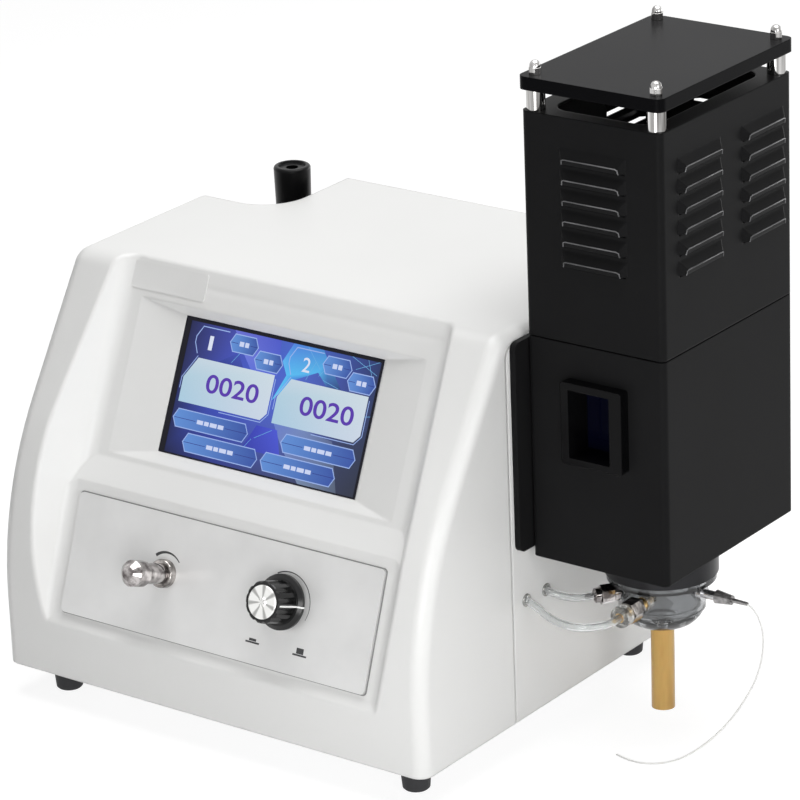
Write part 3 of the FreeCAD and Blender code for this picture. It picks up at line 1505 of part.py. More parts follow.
def make_burner():
    floor = s.burner_bottom + s.sheet
    r = s.chimney_radius
    tube = slab("chimney", [("circle", 0, 0, r), ("circle", 0, 0, r - s.chimney_wall)],
                s.chimney_top - floor, level=floor)
    side = s.chimney_window_width / 2
    half = s.chimney_window_height / 2
    bore(tube, [box_outline(0 - side, side, s.window_z - half, s.window_z + half)], "XZ_Plane",
         depth=2 * r, up=True)
    bore(tube, [("circle", 0, s.flame_z, s.light_hole_radius)], "YZ_Plane", depth=2 * r)
    bore(tube, [("circle", 0, s.burner_head_top + s.burner_head_plate, s.igniter_hole_radius)],
         "XZ_Plane", depth=2 * r)
    keep(place(tube, (burner_x, burner_y, 0)), "flame_chimney")
    head_r = s.burner_head_radius
    top = s.burner_head_top
    low = top - s.burner_head_height
    socket = s.burner_stem_radius + s.running_gap
    socket_top = low + s.burner_socket_height
    wall = s.burner_head_wall
    plate = s.burner_head_plate
    head = turned("head", [
        (socket, low), (head_r - 2, low), (head_r, low + wall), (head_r, top - 1),
        (head_r - 1, top), (0, top), (0, top - plate), (head_r - wall, top - plate),
        (head_r - wall, socket_top), (socket, socket_top)])
    doc.recompute()
    spacing = (head_r - wall - 0.5) / s.burner_port_rows
    holes = [("circle", 0, 0, s.burner_port_radius)]
    for ring in range(1, int(number(s.burner_port_rows)) + 1):
        for k in range(6 * ring):
            angle = 60 * k / ring
            holes.append(("circle", ring * spacing * math.cos(math.radians(angle)),
                          ring * spacing * math.sin(math.radians(angle)), s.burner_port_radius))
    bore(head, holes, depth=plate + 2, level=top + 1)
    keep(place(head, (burner_x, burner_y, 0)), "burner_head")
    collar_low = s.burner_bottom - s.collar_height
    stem_r = s.burner_stem_radius
    stem_bore = stem_r - s.burner_stem_wall
    stem_low = collar_low - s.burner_stem_drop
    disc_top = collar_low + s.burner_stem_drop
    disc_r = s.collar_bore - s.running_gap
    stem_top = low + s.burner_stem_grip
    stem = turned("burner_tube", [
        (stem_bore, stem_low), (stem_r, stem_low), (stem_r, collar_low), (disc_r, collar_low),
        (disc_r, disc_top), (stem_r, disc_top), (stem_r, stem_top), (stem_bore, stem_top)])
    keep(place(stem, (burner_x, burner_y, 0)), "burner_stem")
    wire = s.igniter_wire_radius
    body_top = top - s.igniter_wire_rise + 2 * wire
    spark = slab("spark", [("circle", 0, 0, s.igniter_radius)], body_top - floor, level=floor)
    add_slab(spark, [("circle", 0, 0, wire)], s.igniter_wire_rise, level=body_top)
    spark_y = burner_y + r - s.igniter_inset
    place(spark, (burner_x, spark_y, 0))
    arm = rod("spark_arm", wire, (burner_x, spark_y, top + 1.2 * wire),
              r - s.igniter_inset - s.spark_gap, (1, 0, 0), 90)
    keep(joined("spark_electrode", [spark, arm]), "igniter")


def make_collar():
    low = s.burner_bottom - s.collar_height
    collar = turned("collar", [
        (s.collar_bore, low), (s.collar_radius, low), (s.collar_radius, s.burner_bottom),
        (s.floor_hole_radius + 1, s.burner_bottom),
        (s.floor_hole_radius + 1, s.burner_bottom - s.collar_top),
        (s.collar_bore, s.burner_bottom - s.collar_top)])
    keep(place(collar, (burner_x, burner_y, 0)), "chamber_collar")


chamber_top = s.burner_bottom - s.collar_height
port_z = chamber_top - s.port_drop


def make_chamber():
    wall = s.chamber_wall
    r = s.chamber_radius
    flange_low = chamber_top - s.chamber_flange_height
    body_low = flange_low - s.chamber_body_height
    step_low = body_low - s.chamber_step_height
    dome_low = step_low - s.chamber_dome_height
    spout_low = dome_low - s.spout_length
    step = s.chamber_step_radius
    inner = r - wall
    chamber = turned("chamber", [
        (s.burner_stem_radius + s.running_gap, chamber_top), (s.chamber_flange_radius, chamber_top),
        (s.chamber_flange_radius, flange_low), (r, flange_low), (r, body_low), (step, body_low),
        (step, step_low), (s.spout_radius + 6, dome_low + 1, 0 - s.chamber_dome_height * 1.6),
        (s.spout_radius, dome_low), (s.spout_radius, spout_low), (s.spout_bore, spout_low),
        (s.spout_bore, dome_low + wall),
        (step - wall, step_low + wall), (step - wall, body_low + wall), (inner, body_low + wall),
        (inner, chamber_top - wall), (s.burner_stem_radius + s.running_gap, chamber_top - wall)])
    z = port_z
    bore(chamber, [("circle", 0, z, s.port_hole_radius)], "YZ_Plane", depth=50, level=50)
    place(chamber, (burner_x, burner_y, 0))
    gas = rod("gas_port_hole", s.port_hole_radius,
              (burner_x + s.gas_port_x, burner_y, z), 50, (1, 0, 0), 90)
    angle = s.air_port_angle
    air = doc.addObject("Part::Cylinder", "air_port_hole")
    bind(air, "Radius", s.port_hole_radius)
    air.Height = 50
    air.Placement = FreeCAD.Placement(V(0, 0, 0), radial_turn(angle))
    for letter, size in zip("xyz", (burner_x, burner_y, z - s.air_port_drop)):
        bind(air, f"Placement.Base.{letter}", size)
    keep(cut_from("chamber_bored", chamber, [gas, air]), "mixing_chamber")


def radial_turn(angle):
    """Turn Z to the horizontal direction at this angle from X."""
    flat = V(math.cos(math.radians(number(angle))), math.sin(math.radians(number(angle))), 0)
    return FreeCAD.Rotation(V(0, 0, 1), flat)


def make_nebulizer():
    r = s.chamber_radius
    hole = s.port_hole_radius - s.running_gap
    cap = s.capillary_radius + s.running_gap
    ring_end = r + s.nebulizer_ring_end
    sunk = r - s.nebulizer_sink
    stem_end = ring_end + s.nebulizer_stem_length
    body = turned("nebulizer", [
        (cap, sunk), (hole, sunk), (hole, r + s.fit_gap), (s.nebulizer_ring_radius, r + s.fit_gap),
        (s.nebulizer_ring_radius, ring_end), (s.nebulizer_stem_radius, ring_end),
        (s.nebulizer_stem_radius, stem_end), (cap, stem_end)])
    at = (burner_x, burner_y, port_z)
    keep(place(body, at, (0, 1, 0), 90), "nebulizer_body")
    sleeve_end = stem_end + s.sleeve_length
    tip_end = sleeve_end + s.tip_length
    sleeve = turned("sleeve", [
        (cap, stem_end), (s.sleeve_radius, stem_end), (s.sleeve_end_radius, sleeve_end),
        (s.tip_radius, sleeve_end), (s.tip_radius * 0.8, tip_end), (cap + 0.3, tip_end),
        (cap, tip_end - 2)])
    keep(place(sleeve, at, (0, 1, 0), 90), "nebulizer_sleeve")
    return tip_end


def nebulizer_tip():
    reach = s.chamber_radius + s.nebulizer_ring_end + s.nebulizer_stem_length
    return (burner_x + reach + s.sleeve_length + s.tip_length, burner_y, port_z)


# ---- connectors, tubes and bushings ----

def tube_ports():
    return [(half_width, s.gas_port_y, s.gas_port_z),
            (half_width, s.air_port_y, s.air_port_z)]


def gas_port_start():
    r = s.chamber_radius
    return root_of(r * r - s.gas_port_x * s.gas_port_x) + s.port_gap


def ring(name, bore_radius, radius, low, high):
    """A rubber ring turned about Z with its two outer edges cut off."""
    edge = s.ring_edge
    return turned(name, [
        (bore_radius, low), (radius - edge, low), (radius, low + 1), (radius, high - 1),
        (radius - edge, high), (bore_radius, high)])


def make_connectors():
    hole = s.port_hole_radius - s.running_gap
    thin = s.tube_bore - s.running_gap
    start = gas_port_start()
    at = (burner_x + s.gas_port_x, burner_y, port_z)
    pipe = s.gas_pipe_radius
    ring_end = start + s.ring_length
    shoulder_end = start + s.shoulder_length
    pipe_end = start + s.gas_pipe_end
    brass = turned("brass", [
        (0, start - s.port_sink), (hole, start - s.port_sink), (hole, ring_end),
        (s.shoulder_radius, ring_end), (s.shoulder_radius, shoulder_end), (pipe, shoulder_end),
        (pipe, pipe_end), (thin, pipe_end), (thin, pipe_end + s.barb_reach),
        (0, pipe_end + s.barb_reach)])
    keep(place(brass, at, (1, 0, 0), 90), "gas_connector")
    union = slab("union", [hexagon(s.union_across), ("circle", 0, 0, pipe + s.running_gap)],
                 s.union_length, level=shoulder_end)
    keep(place(union, at, (1, 0, 0), 90), "gas_union_body")
    inner_ring = ring("ring_inner", hole + s.running_gap, s.ring_radius, start, ring_end)
    outer_ring = ring("ring_outer", pipe + s.running_gap, s.union_ring_radius,
                      start + s.union_ring_start, pipe_end)
    gather("gas_union_rings", [place(inner_ring, at, (1, 0, 0), 90),
                               place(outer_ring, at, (1, 0, 0), 90)])
    low = s.chamber_radius + s.port_gap
    washer_end = low + s.air_washer
    collar_start = low + s.air_pipe_end
    collar_end = low + s.air_collar_end
    barb_start = low + s.air_barb_start
    air = turned("air_fitting", [
        (0, s.chamber_radius - 4), (hole, s.chamber_radius - 4), (hole, low),
        (s.ring_radius, low), (s.ring_radius, washer_end), (s.air_pipe_radius, washer_end),
        (s.air_pipe_radius, collar_start), (s.air_collar_radius, collar_start),
        (s.air_collar_radius, collar_end), (s.air_barb_radius, barb_start), (thin, barb_start),
        (thin, barb_start + s.air_barb_reach), (0, barb_start + s.air_barb_reach)])
    add_slab(air, [hexagon(s.air_hex_across)], s.air_hex_length, level=low + s.air_hex_start)
    air.Placement = FreeCAD.Placement(V(0, 0, 0), radial_turn(s.air_port_angle))
    place(air, (burner_x, burner_y, port_z - s.air_port_drop))
    keep(air, "air_connector")


def tube_along(name, route, radius, bore_radius=None):
    """A tube along straight runs joined by tangent arcs, each as large as its runs allow."""
    points = [V(*[number(c) for c in p]) for p in route]
    edges = []
    here = points[0]
    radii = []
    for before, corner, after in zip(points, points[1:], points[2:]):
        run_in = corner.sub(before)
        run_out = after.sub(corner)
        half_turn = run_in.getAngle(run_out) / 2
        setback = 0.45 * min(run_in.Length, run_out.Length)
        radii.append(setback / math.tan(half_turn))
        first = corner.sub(V(run_in).normalize().multiply(setback))
        last = corner.add(V(run_out).normalize().multiply(setback))
        to_middle = first.add(last).multiply(0.5).sub(corner)
        away = radii[-1] / math.cos(half_turn) - radii[-1]
        middle = corner.add(V(to_middle).normalize().multiply(away))
        edges.append(Part.LineSegment(here, first).toShape())
        edges.append(Part.Arc(first, middle, last).toShape())
        here = last
    edges.append(Part.LineSegment(here, points[-1]).toShape())
    path = Part.Wire(edges)
    heading = points[1].sub(points[0])
    section = Part.Wire(Part.makeCircle(number(radius), points[0], heading))
    shape = path.makePipeShell([section], True, False)
    length = path.Length
    area = math.pi * number(radius) ** 2
    if bore_radius is not None:
        inner = Part.Wire(Part.makeCircle(number(bore_radius), points[0], heading))
        shape = shape.cut(path.makePipeShell([inner], True, False))
        area -= math.pi * number(bore_radius) ** 2
    print(f"{name}: length {length:.1f} mm, radii {[round(r, 1) for r in radii]}, "
          f"volume {shape.Volume:.1f}, section x length {area * length:.1f}")
    piece = doc.addObject("Part::Feature", name)
    piece.Shape = shape.Solids[0] if shape.Solids else shape
    piece.Placement = FreeCAD.Placement()
    return piece


def make_tubes():
    gas_start, air_start = tube_ports()
    gas_end_y = burner_y - gas_port_start() - s.gas_pipe_end
    gas_x = burner_x + s.gas_port_x
    x, y, z = gas_start
    gas_route = [gas_start, (x + 9.5, y - 2.5, z - 1.4), (x + 21.5, y - 8, z - 3.4),
                 (x + 34.5, y - 11, z - 4.4), (x + 47.5, y - 8.5, z - 4.6),
                 (gas_x, gas_end_y - 12, port_z), (gas_x, gas_end_y, port_z)]
    keep(tube_along("gas_hose", gas_route, s.tube_radius, s.tube_bore), "gas_tube", cord=True)
    reach = s.chamber_radius + s.port_gap + s.air_barb_start
    angle = s.air_port_angle
    air_z = port_z - s.air_port_drop
    air_end = (burner_x + reach * cos_of(angle), burner_y + reach * sin_of(angle), air_z)
    before = (burner_x + (reach + 11) * cos_of(angle), burner_y + (reach + 11) * sin_of(angle),
              air_z)
    x, y, z = air_start
    air_route = [air_start, (x + 7.5, y + 1.5, z - 2.4), before, air_end]
    keep(tube_along("air_hose", air_route, s.tube_radius, s.tube_bore), "air_tube", cord=True)


def make_cords():
    x, y, z = nebulizer_tip()
    bench = 0 - s.foot_height + s.capillary_radius
    capillary_route = [(x - 4, y, z), (x + 1.5, y, z), (x + 8.2, y - 0.4, z - 6.4),
                       (x + 12.3, y - 1.6, z - 16.9), (x + 13.1, y - 4.2, z - 30),
                       (x + 11.2, y - 8, z - 43.4), (x + 7, y - 13.2, z - 55.6),
                       (x + 0.3, y - 19.8, z - 69), (x - 7.8, y - 27.4, z - 80.2),
                       (x - 16.4, y - 34.6, z - 88.6), (x - 25.2, y - 43, bench),
                       (x - 33.5, y - 54, bench), (x - 47.5, y - 59, bench),
                       (x - 60.8, y - 55, bench)]
    keep(tube_along("capillary", capillary_route, s.capillary_radius), "capillary_tube", cord=True)
    dome_low = (chamber_top - s.chamber_flange_height - s.chamber_body_height
                - s.chamber_step_height - s.chamber_dome_height)
    top = dome_low - s.fit_gap
    bend = top - 1.9 * s.spout_length
    drain_route = [(burner_x, burner_y, top), (burner_x, burner_y, bend),
                   (burner_x + 0.8, burner_y - 1.6, s.drain_end)]
    keep(tube_along("drain", drain_route, s.drain_radius, s.drain_bore), "drain_tube", cord=True)


# ---- build, check and write ----

def main():
    make_front_shell()
    make_rear_shell()
    make_base()
    make_panel()
    make_display()
    make_electronics()
    make_gas_valve()
    make_gas_knob()
    make_needle_valve()
    make_regulator()
    make_rear_fittings()
    make_optics()
    make_side_plate()
    make_lower_cover()
    make_upper_cover()
    make_lid()
    make_window()
    make_burner()
    make_collar()
    make_chamber()
    make_nebulizer()
    make_connectors()
    make_tubes()
    make_cords()
    doc.recompute()
    check()
    write()


def check():
    for thing in doc.Objects:
        if "Invalid" in thing.State or "Error" in thing.State:
            raise RuntimeError(f"{thing.Name} failed: {thing.State}")
    for piece in pieces:
        if piece.Shape.isNull() or not piece.Shape.isValid():
            raise RuntimeError(f"{piece.Label} has no valid shape")


def write():
    """Move everything so that the origin lies on the bench, under the middle of the object."""
    box = FreeCAD.BoundBox()
    for piece in pieces:
        if piece not in cords:
            box.add(piece.Shape.optimalBoundingBox(False, False))
    shift = V(-box.Center.x, -box.Center.y, number(s.foot_height))
    print(f"shift {shift.x:.4f} {shift.y:.4f} {shift.z:.4f}; "
          f"size {box.XLength:.1f} x {box.YLength:.1f} x {box.ZLength:.1f}")
    os.makedirs("parts", exist_ok=True)
    for piece in pieces:
        shape = piece.Shape.copy()
        shape.translate(shift)
        shape.exportStep(f"parts/{piece.Label}.step")
    print(f"{len(pieces)} sub-parts written")


main()
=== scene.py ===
import bpy
import bmesh
import math
from mathutils import Matrix, Vector


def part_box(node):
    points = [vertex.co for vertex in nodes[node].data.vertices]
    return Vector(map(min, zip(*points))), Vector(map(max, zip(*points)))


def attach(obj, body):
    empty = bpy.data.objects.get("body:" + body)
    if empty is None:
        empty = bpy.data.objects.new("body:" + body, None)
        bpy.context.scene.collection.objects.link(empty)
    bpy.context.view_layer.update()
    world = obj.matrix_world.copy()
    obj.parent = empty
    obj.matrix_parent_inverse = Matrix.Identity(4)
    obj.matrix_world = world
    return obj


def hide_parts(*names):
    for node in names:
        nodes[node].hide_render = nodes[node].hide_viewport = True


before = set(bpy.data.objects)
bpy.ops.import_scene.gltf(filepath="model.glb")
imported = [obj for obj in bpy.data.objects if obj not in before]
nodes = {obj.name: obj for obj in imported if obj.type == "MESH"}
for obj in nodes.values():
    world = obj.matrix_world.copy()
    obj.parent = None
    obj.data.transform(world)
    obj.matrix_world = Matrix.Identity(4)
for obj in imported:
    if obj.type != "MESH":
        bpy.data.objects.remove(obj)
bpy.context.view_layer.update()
scene = bpy.context.scene
scene.view_settings.view_transform = "Standard"
mm = 0.001
root = "cabinet"

# the cabinet's own frame: middle of its width, its front face and its lower edge
shellLow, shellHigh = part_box("front_shell")
cabinetOrigin = Vector(((shellLow[0] + shellHigh[0]) / 2, shellLow[1], shellLow[2]))


def at(x, y, z):
    return cabinetOrigin + Vector((x, y, z)) * mm


def tilted(place, angle):
    # x to the right, y up the face, z out of it
    lean = math.radians(angle)
    turn = Matrix(((1, 0, 0), (0, math.sin(lean), -math.cos(lean)), (0, math.cos(lean), math.sin(lean))))
    return Matrix.Translation(at(*place)) @ turn.to_4x4()


def added(name, data):
    piece = bpy.data.objects.new(name, data)
    scene.collection.objects.link(piece)
    return piece


panel = tilted((0, 2.9, 37.6), 20.5)  # the control panel's bed
face = tilted((0, 70.1, 184.4), 24.5)  # the face round the display
print("frame loaded")


# camera: its place in mm in the cabinet's frame, angles in degrees, lens and sensor in mm

camera = {"place": (1573.7, -1869.5, 1149.4), "azimuth": 37.143, "elevation": 21.138, "roll": -2.241,
          "lens": 196.47, "sensor": 36.0, "clip": (0.05, 50)}


def makeCamera():
    data = bpy.data.cameras.new("camera")
    data.sensor_width = camera["sensor"]
    data.lens = camera["lens"]
    data.clip_start, data.clip_end = camera["clip"]
    azimuth, elevation, roll = (math.radians(camera[k]) for k in ("azimuth", "elevation", "roll"))
    forward = Vector((-math.sin(azimuth) * math.cos(elevation), math.cos(azimuth) * math.cos(elevation),
                      -math.sin(elevation)))
    level = Vector((math.cos(azimuth), math.sin(azimuth), 0))
    upright = level.cross(forward)
    right = level * math.cos(roll) + upright * math.sin(roll)
    up = upright * math.cos(roll) - level * math.sin(roll)
    turn = Matrix((right, up, -forward)).transposed()
    holder = added("camera", data)
    holder.matrix_world = Matrix.Translation(at(*camera["place"])) @ turn.to_4x4()
    scene.camera = holder


makeCamera()


# materials: each one is a Principled shader with its own grain, colour drift and bump

def freshMaterial(name):
    made = bpy.data.materials.new(name)
    made.use_nodes = True
    tree = made.node_tree
    shader = tree.nodes["Principled BSDF"]
    where = tree.nodes.new("ShaderNodeTexCoord").outputs["Object"]
    return made, tree, shader, where


def noiseNode(tree, where, scale, detail, roughness=0.55, stretch=None):
    if stretch:
        mapping = tree.nodes.new("ShaderNodeMapping")
        mapping.inputs["Scale"].default_value = stretch
        tree.links.new(where, mapping.inputs["Vector"])
        where = mapping.outputs["Vector"]
    texture = tree.nodes.new("ShaderNodeTexNoise")
    texture.inputs["Scale"].default_value = scale
    texture.inputs["Detail"].default_value = detail
    texture.inputs["Roughness"].default_value = roughness
    tree.links.new(where, texture.inputs["Vector"])
    return texture.outputs["Fac"]


def ramp(tree, value, stops):
    node = tree.nodes.new("ShaderNodeValToRGB")
    for element, (place, colour) in zip(node.color_ramp.elements, stops):
        element.position = place
        element.color = (*colour, 1)
    tree.links.new(value, node.inputs["Fac"])
    return node.outputs["Color"]


def scaled(tree, value, low, high):
    node = tree.nodes.new("ShaderNodeMapRange")
    node.inputs["To Min"].default_value = low
    node.inputs["To Max"].default_value = high
    tree.links.new(value, node.inputs["Value"])
    return node.outputs["Result"]


def maths(tree, kind, *values):
    # each value is a number or another node's output
    node = tree.nodes.new("ShaderNodeMath")
    node.operation = kind
    for socket, value in zip(node.inputs, values):
        if isinstance(value, (int, float)):
            socket.default_value = value
        else:
            tree.links.new(value, socket)
    return node.outputs["Value"]


def vectorMaths(tree, kind, vector, fixed):
    node = tree.nodes.new("ShaderNodeVectorMath")
    node.operation = kind
    node.inputs[1].default_value = fixed
    tree.links.new(vector, node.inputs[0])
    return node.outputs["Value" if kind == "DOT_PRODUCT" else "Vector"]


def bumpFrom(tree, shader, value, strength, depth):
    node = tree.nodes.new("ShaderNodeBump")
    node.inputs["Strength"].default_value = strength
    node.inputs["Distance"].default_value = depth
    tree.links.new(value, node.inputs["Height"])
    tree.links.new(node.outputs["Normal"], shader.inputs["Normal"])
    return node


# what a finish has unless it says otherwise: edge in mm, depths in metres
plainLook = {"fade": 0.94, "driftScale": 18, "stretch": None, "grainScale": 900, "roughSpread": 0.05,
             "metallic": 0.0, "coat": 0.0, "coatRoughness": 0.08, "specular": 0.5, "sheen": 1.0,
             "clear": 0.0, "ior": 1.5, "inside": 0.0, "insideDepth": 0.004, "bump": 0.1,
             "bumpDepth": 0.0002, "edge": 0.0}

sockets = {"Metallic": "metallic", "Coat Weight": "coat", "Coat Roughness": "coatRoughness",
           "Specular IOR Level": "specular", "Transmission Weight": "clear", "IOR": "ior",
           "Subsurface Weight": "inside", "Subsurface Scale": "insideDepth"}


def surface(name, ownLook):
    # colour drifts between two tones, roughness drifts a little, and a fine grain lifts the surface
    look = {**plainLook, **ownLook}
    made, tree, shader, where = freshMaterial(name)
    tone = look["colour"]
    other = look.get("second", tuple(c * look["fade"] for c in tone))
    drift = noiseNode(tree, where, look["driftScale"], 3.0, 0.5, look["stretch"])
    tree.links.new(ramp(tree, drift, [(0.3, other), (0.7, tone)]), shader.inputs["Base Color"])
    rough, spread = look["roughness"], look["roughSpread"]
    tree.links.new(scaled(tree, drift, rough - spread, rough + spread), shader.inputs["Roughness"])
    for socket, key in sockets.items():
        shader.inputs[socket].default_value = look[key]
    shader.inputs["Specular Tint"].default_value = (*(look["sheen"],) * 3, 1)
    if look["bump"]:
        grain = noiseNode(tree, where, look["grainScale"], 2.0, 0.6, look["stretch"])
        lifted = bumpFrom(tree, shader, grain, look["bump"], look["bumpDepth"])
        if look["edge"]:
            softened = tree.nodes.new("ShaderNodeBevel")
            softened.samples = 6
            softened.inputs["Radius"].default_value = look["edge"] * mm
            tree.links.new(softened.outputs["Normal"], lifted.inputs["Normal"])
    return made


finishes = {
    "shellWhite": {"colour": (0.80, 0.80, 0.79), "second": (0.77, 0.77, 0.76), "roughness": 0.36,
                   "specular": 0.32, "coat": 0.12, "coatRoughness": 0.2, "driftScale": 6,
                   "grainScale": 1800, "bump": 0.05, "bumpDepth": 0.0001, "edge": 2.4},
    "rubberBlack": {"colour": (0.018, 0.018, 0.02), "roughness": 0.7, "bump": 0.3},
    "baseSteel": {"colour": (0.42, 0.43, 0.44), "roughness": 0.5, "metallic": 0.6, "bump": 0.2},
    "panelSilver": {"colour": (0.77, 0.77, 0.765), "second": (0.71, 0.71, 0.705), "roughness": 0.38,
                    "metallic": 0.25, "driftScale": 30, "grainScale": 2600, "bump": 0.12,
                    "bumpDepth": 0.00012},
    # painted shadow: the dark line in the gap between the control panel's plate and its bed
    "gapShadowGrey": {"colour": (0.28, 0.28, 0.28), "second": (0.21, 0.21, 0.21), "roughness": 0.6},
    "coverBlack": {"colour": (0.012, 0.012, 0.0125), "second": (0.010, 0.010, 0.0104),
                   "roughness": 0.36, "driftScale": 12, "grainScale": 2200, "bump": 0.35,
                   "bumpDepth": 0.0001, "specular": 0.045, "sheen": 0.45, "edge": 1.4},
    "lidBlack": {"colour": (0.004, 0.004, 0.0048), "second": (0.003, 0.003, 0.0035), "roughness": 0.30,
                 "driftScale": 9, "grainScale": 2600, "bump": 0.2, "bumpDepth": 0.0001, "specular": 0.04,
                 "sheen": 0.42, "edge": 1.2},
    "frameBlack": {"colour": (0.003, 0.003, 0.0034), "roughness": 0.14, "specular": 0.12, "sheen": 0.6,
                   "grainScale": 1200, "bump": 0.06, "edge": 1.0},
    # painted highlight: the louvre beads are far lighter than the cover black, standing in for glints on
    # the pressed edges
    "louvreGlint": {"colour": (0.17, 0.17, 0.175), "second": (0.06, 0.06, 0.062), "roughness": 0.3,
                   "metallic": 0.5, "driftScale": 60},
    "glassBlue": {"colour": (0.0025, 0.0032, 0.014), "second": (0.002, 0.0024, 0.009), "roughness": 0.06,
                  "roughSpread": 0.02, "clear": 0.1, "bump": 0.0, "specular": 0.2},
    "knobBlack": {"colour": (0.006, 0.006, 0.0064), "roughness": 0.2, "specular": 0.34,
                  "grainScale": 1500, "bump": 0.12, "edge": 0.4},
    "capBlack": {"colour": (0.003, 0.003, 0.0034), "roughness": 0.3, "specular": 0.2, "sheen": 0.5,
                 "grainScale": 1500, "bump": 0.12, "edge": 0.4},
    "steelTurned": {"colour": (0.58, 0.58, 0.59), "second": (0.50, 0.50, 0.51), "roughness": 0.24,
                    "metallic": 1.0, "bump": 0.08, "stretch": (1, 1, 14)},
    # the chrome finishes' very dark second tone, in bands and blotches, is painted reflection of a dark
    # surrounding
    "chromeBright": {"colour": (0.80, 0.79, 0.78), "second": (0.10, 0.095, 0.09), "roughness": 0.08,
                     "roughSpread": 0.03, "metallic": 1.0, "driftScale": 210, "stretch": (1, 1, 0.05),
                     "bump": 0.03, "edge": 0.3},
    "chromeKnob": {"colour": (0.66, 0.63, 0.62), "second": (0.07, 0.058, 0.058), "roughness": 0.07,
                   "roughSpread": 0.03, "metallic": 1.0, "driftScale": 190, "bump": 0.03, "edge": 0.2},
    "chromeDark": {"colour": (0.52, 0.49, 0.47), "second": (0.05, 0.045, 0.042), "roughness": 0.08,
                   "roughSpread": 0.03, "metallic": 1.0, "driftScale": 230, "bump": 0.04, "edge": 0.3},
    "sealClear": {"colour": (0.74, 0.74, 0.72), "second": (0.52, 0.52, 0.50), "roughness": 0.1,
                  "clear": 0.85, "bump": 0.03},
    "brassTurned": {"colour": (0.72, 0.50, 0.22), "second": (0.62, 0.42, 0.18), "roughness": 0.22,
                    "metallic": 1.0, "bump": 0.06},
    "zincCast": {"colour": (0.055, 0.057, 0.06), "roughness": 0.45, "bump": 0.4, "bumpDepth": 0.0003},
    "bowlClear": {"colour": (0.86, 0.90, 0.92), "roughness": 0.08, "clear": 0.9, "bump": 0.02},
    # the acrylic's tint is darkened well below clear acrylic's own, as painted shade on the mixing chamber
    "acrylicShadedClear": {"colour": (0.50, 0.51, 0.52), "second": (0.36, 0.37, 0.38), "roughness": 0.05,
                     "roughSpread": 0.02, "clear": 0.94, "ior": 1.47, "bump": 0.03},
    "tubeClear": {"colour": (0.93, 0.94, 0.94), "second": (0.88, 0.90, 0.90), "roughness": 0.08,
                  "roughSpread": 0.03, "clear": 0.85, "ior": 1.42, "bump": 0.03},
    "ptfeWhite": {"colour": (0.84, 0.84, 0.82), "roughness": 0.3, "bump": 0.05},
    "rubberAmber": {"colour": (0.62, 0.38, 0.10), "second": (0.50, 0.28, 0.06), "roughness": 0.36,
                    "driftScale": 60, "stretch": (3, 3, 0.4), "bump": 0.2, "bumpDepth": 0.0003,
                    "inside": 0.15, "coat": 0.2},
    "anodisedBlack": {"colour": (0.02, 0.02, 0.022), "roughness": 0.35, "metallic": 0.7},
    "lensGlass": {"colour": (0.9, 0.93, 0.95), "roughness": 0.03, "roughSpread": 0.01, "clear": 0.95,
                  "bump": 0.0},
    "screenGlass": {"colour": (0.006, 0.006, 0.012), "roughness": 0.12, "roughSpread": 0.02, "bump": 0.0},
    "filterRed": {"colour": (0.55, 0.04, 0.03), "roughness": 0.06, "clear": 0.6, "bump": 0.0},
    "filterYellow": {"colour": (0.75, 0.52, 0.04), "roughness": 0.06, "clear": 0.6, "bump": 0.0},
    "heatSteel": {"colour": (0.36, 0.31, 0.27), "second": (0.22, 0.20, 0.24), "roughness": 0.34,
                  "metallic": 1.0, "driftScale": 40},
    "boardGreen": {"colour": (0.02, 0.14, 0.06), "second": (0.015, 0.10, 0.045), "roughness": 0.3,
                   "driftScale": 120, "bump": 0.2},
    "plasticBlack": {"colour": (0.02, 0.02, 0.021), "roughness": 0.32, "bump": 0.15},
    # the dark second tone, metallic and in fine blotches, is painted reflection for the nebulizer sleeve's
    # dark bands
    "plasticGrey": {"colour": (0.46, 0.45, 0.45), "second": (0.16, 0.155, 0.155), "roughness": 0.2,
                    "metallic": 0.75, "driftScale": 260, "bump": 0.08},
    "labelWhite": {"colour": (0.80, 0.80, 0.79), "roughness": 0.35, "bump": 0.05},
    # used for printed marks, and as painted shade in the screw heads' cross recesses
    "inkAndShadeBlack": {"colour": (0.03, 0.03, 0.032), "roughness": 0.5, "bump": 0.05},
    "inkWhite": {"colour": (0.86, 0.86, 0.85), "roughness": 0.4, "bump": 0.05},
}
looks = {name: surface(name, look) for name, look in finishes.items()}

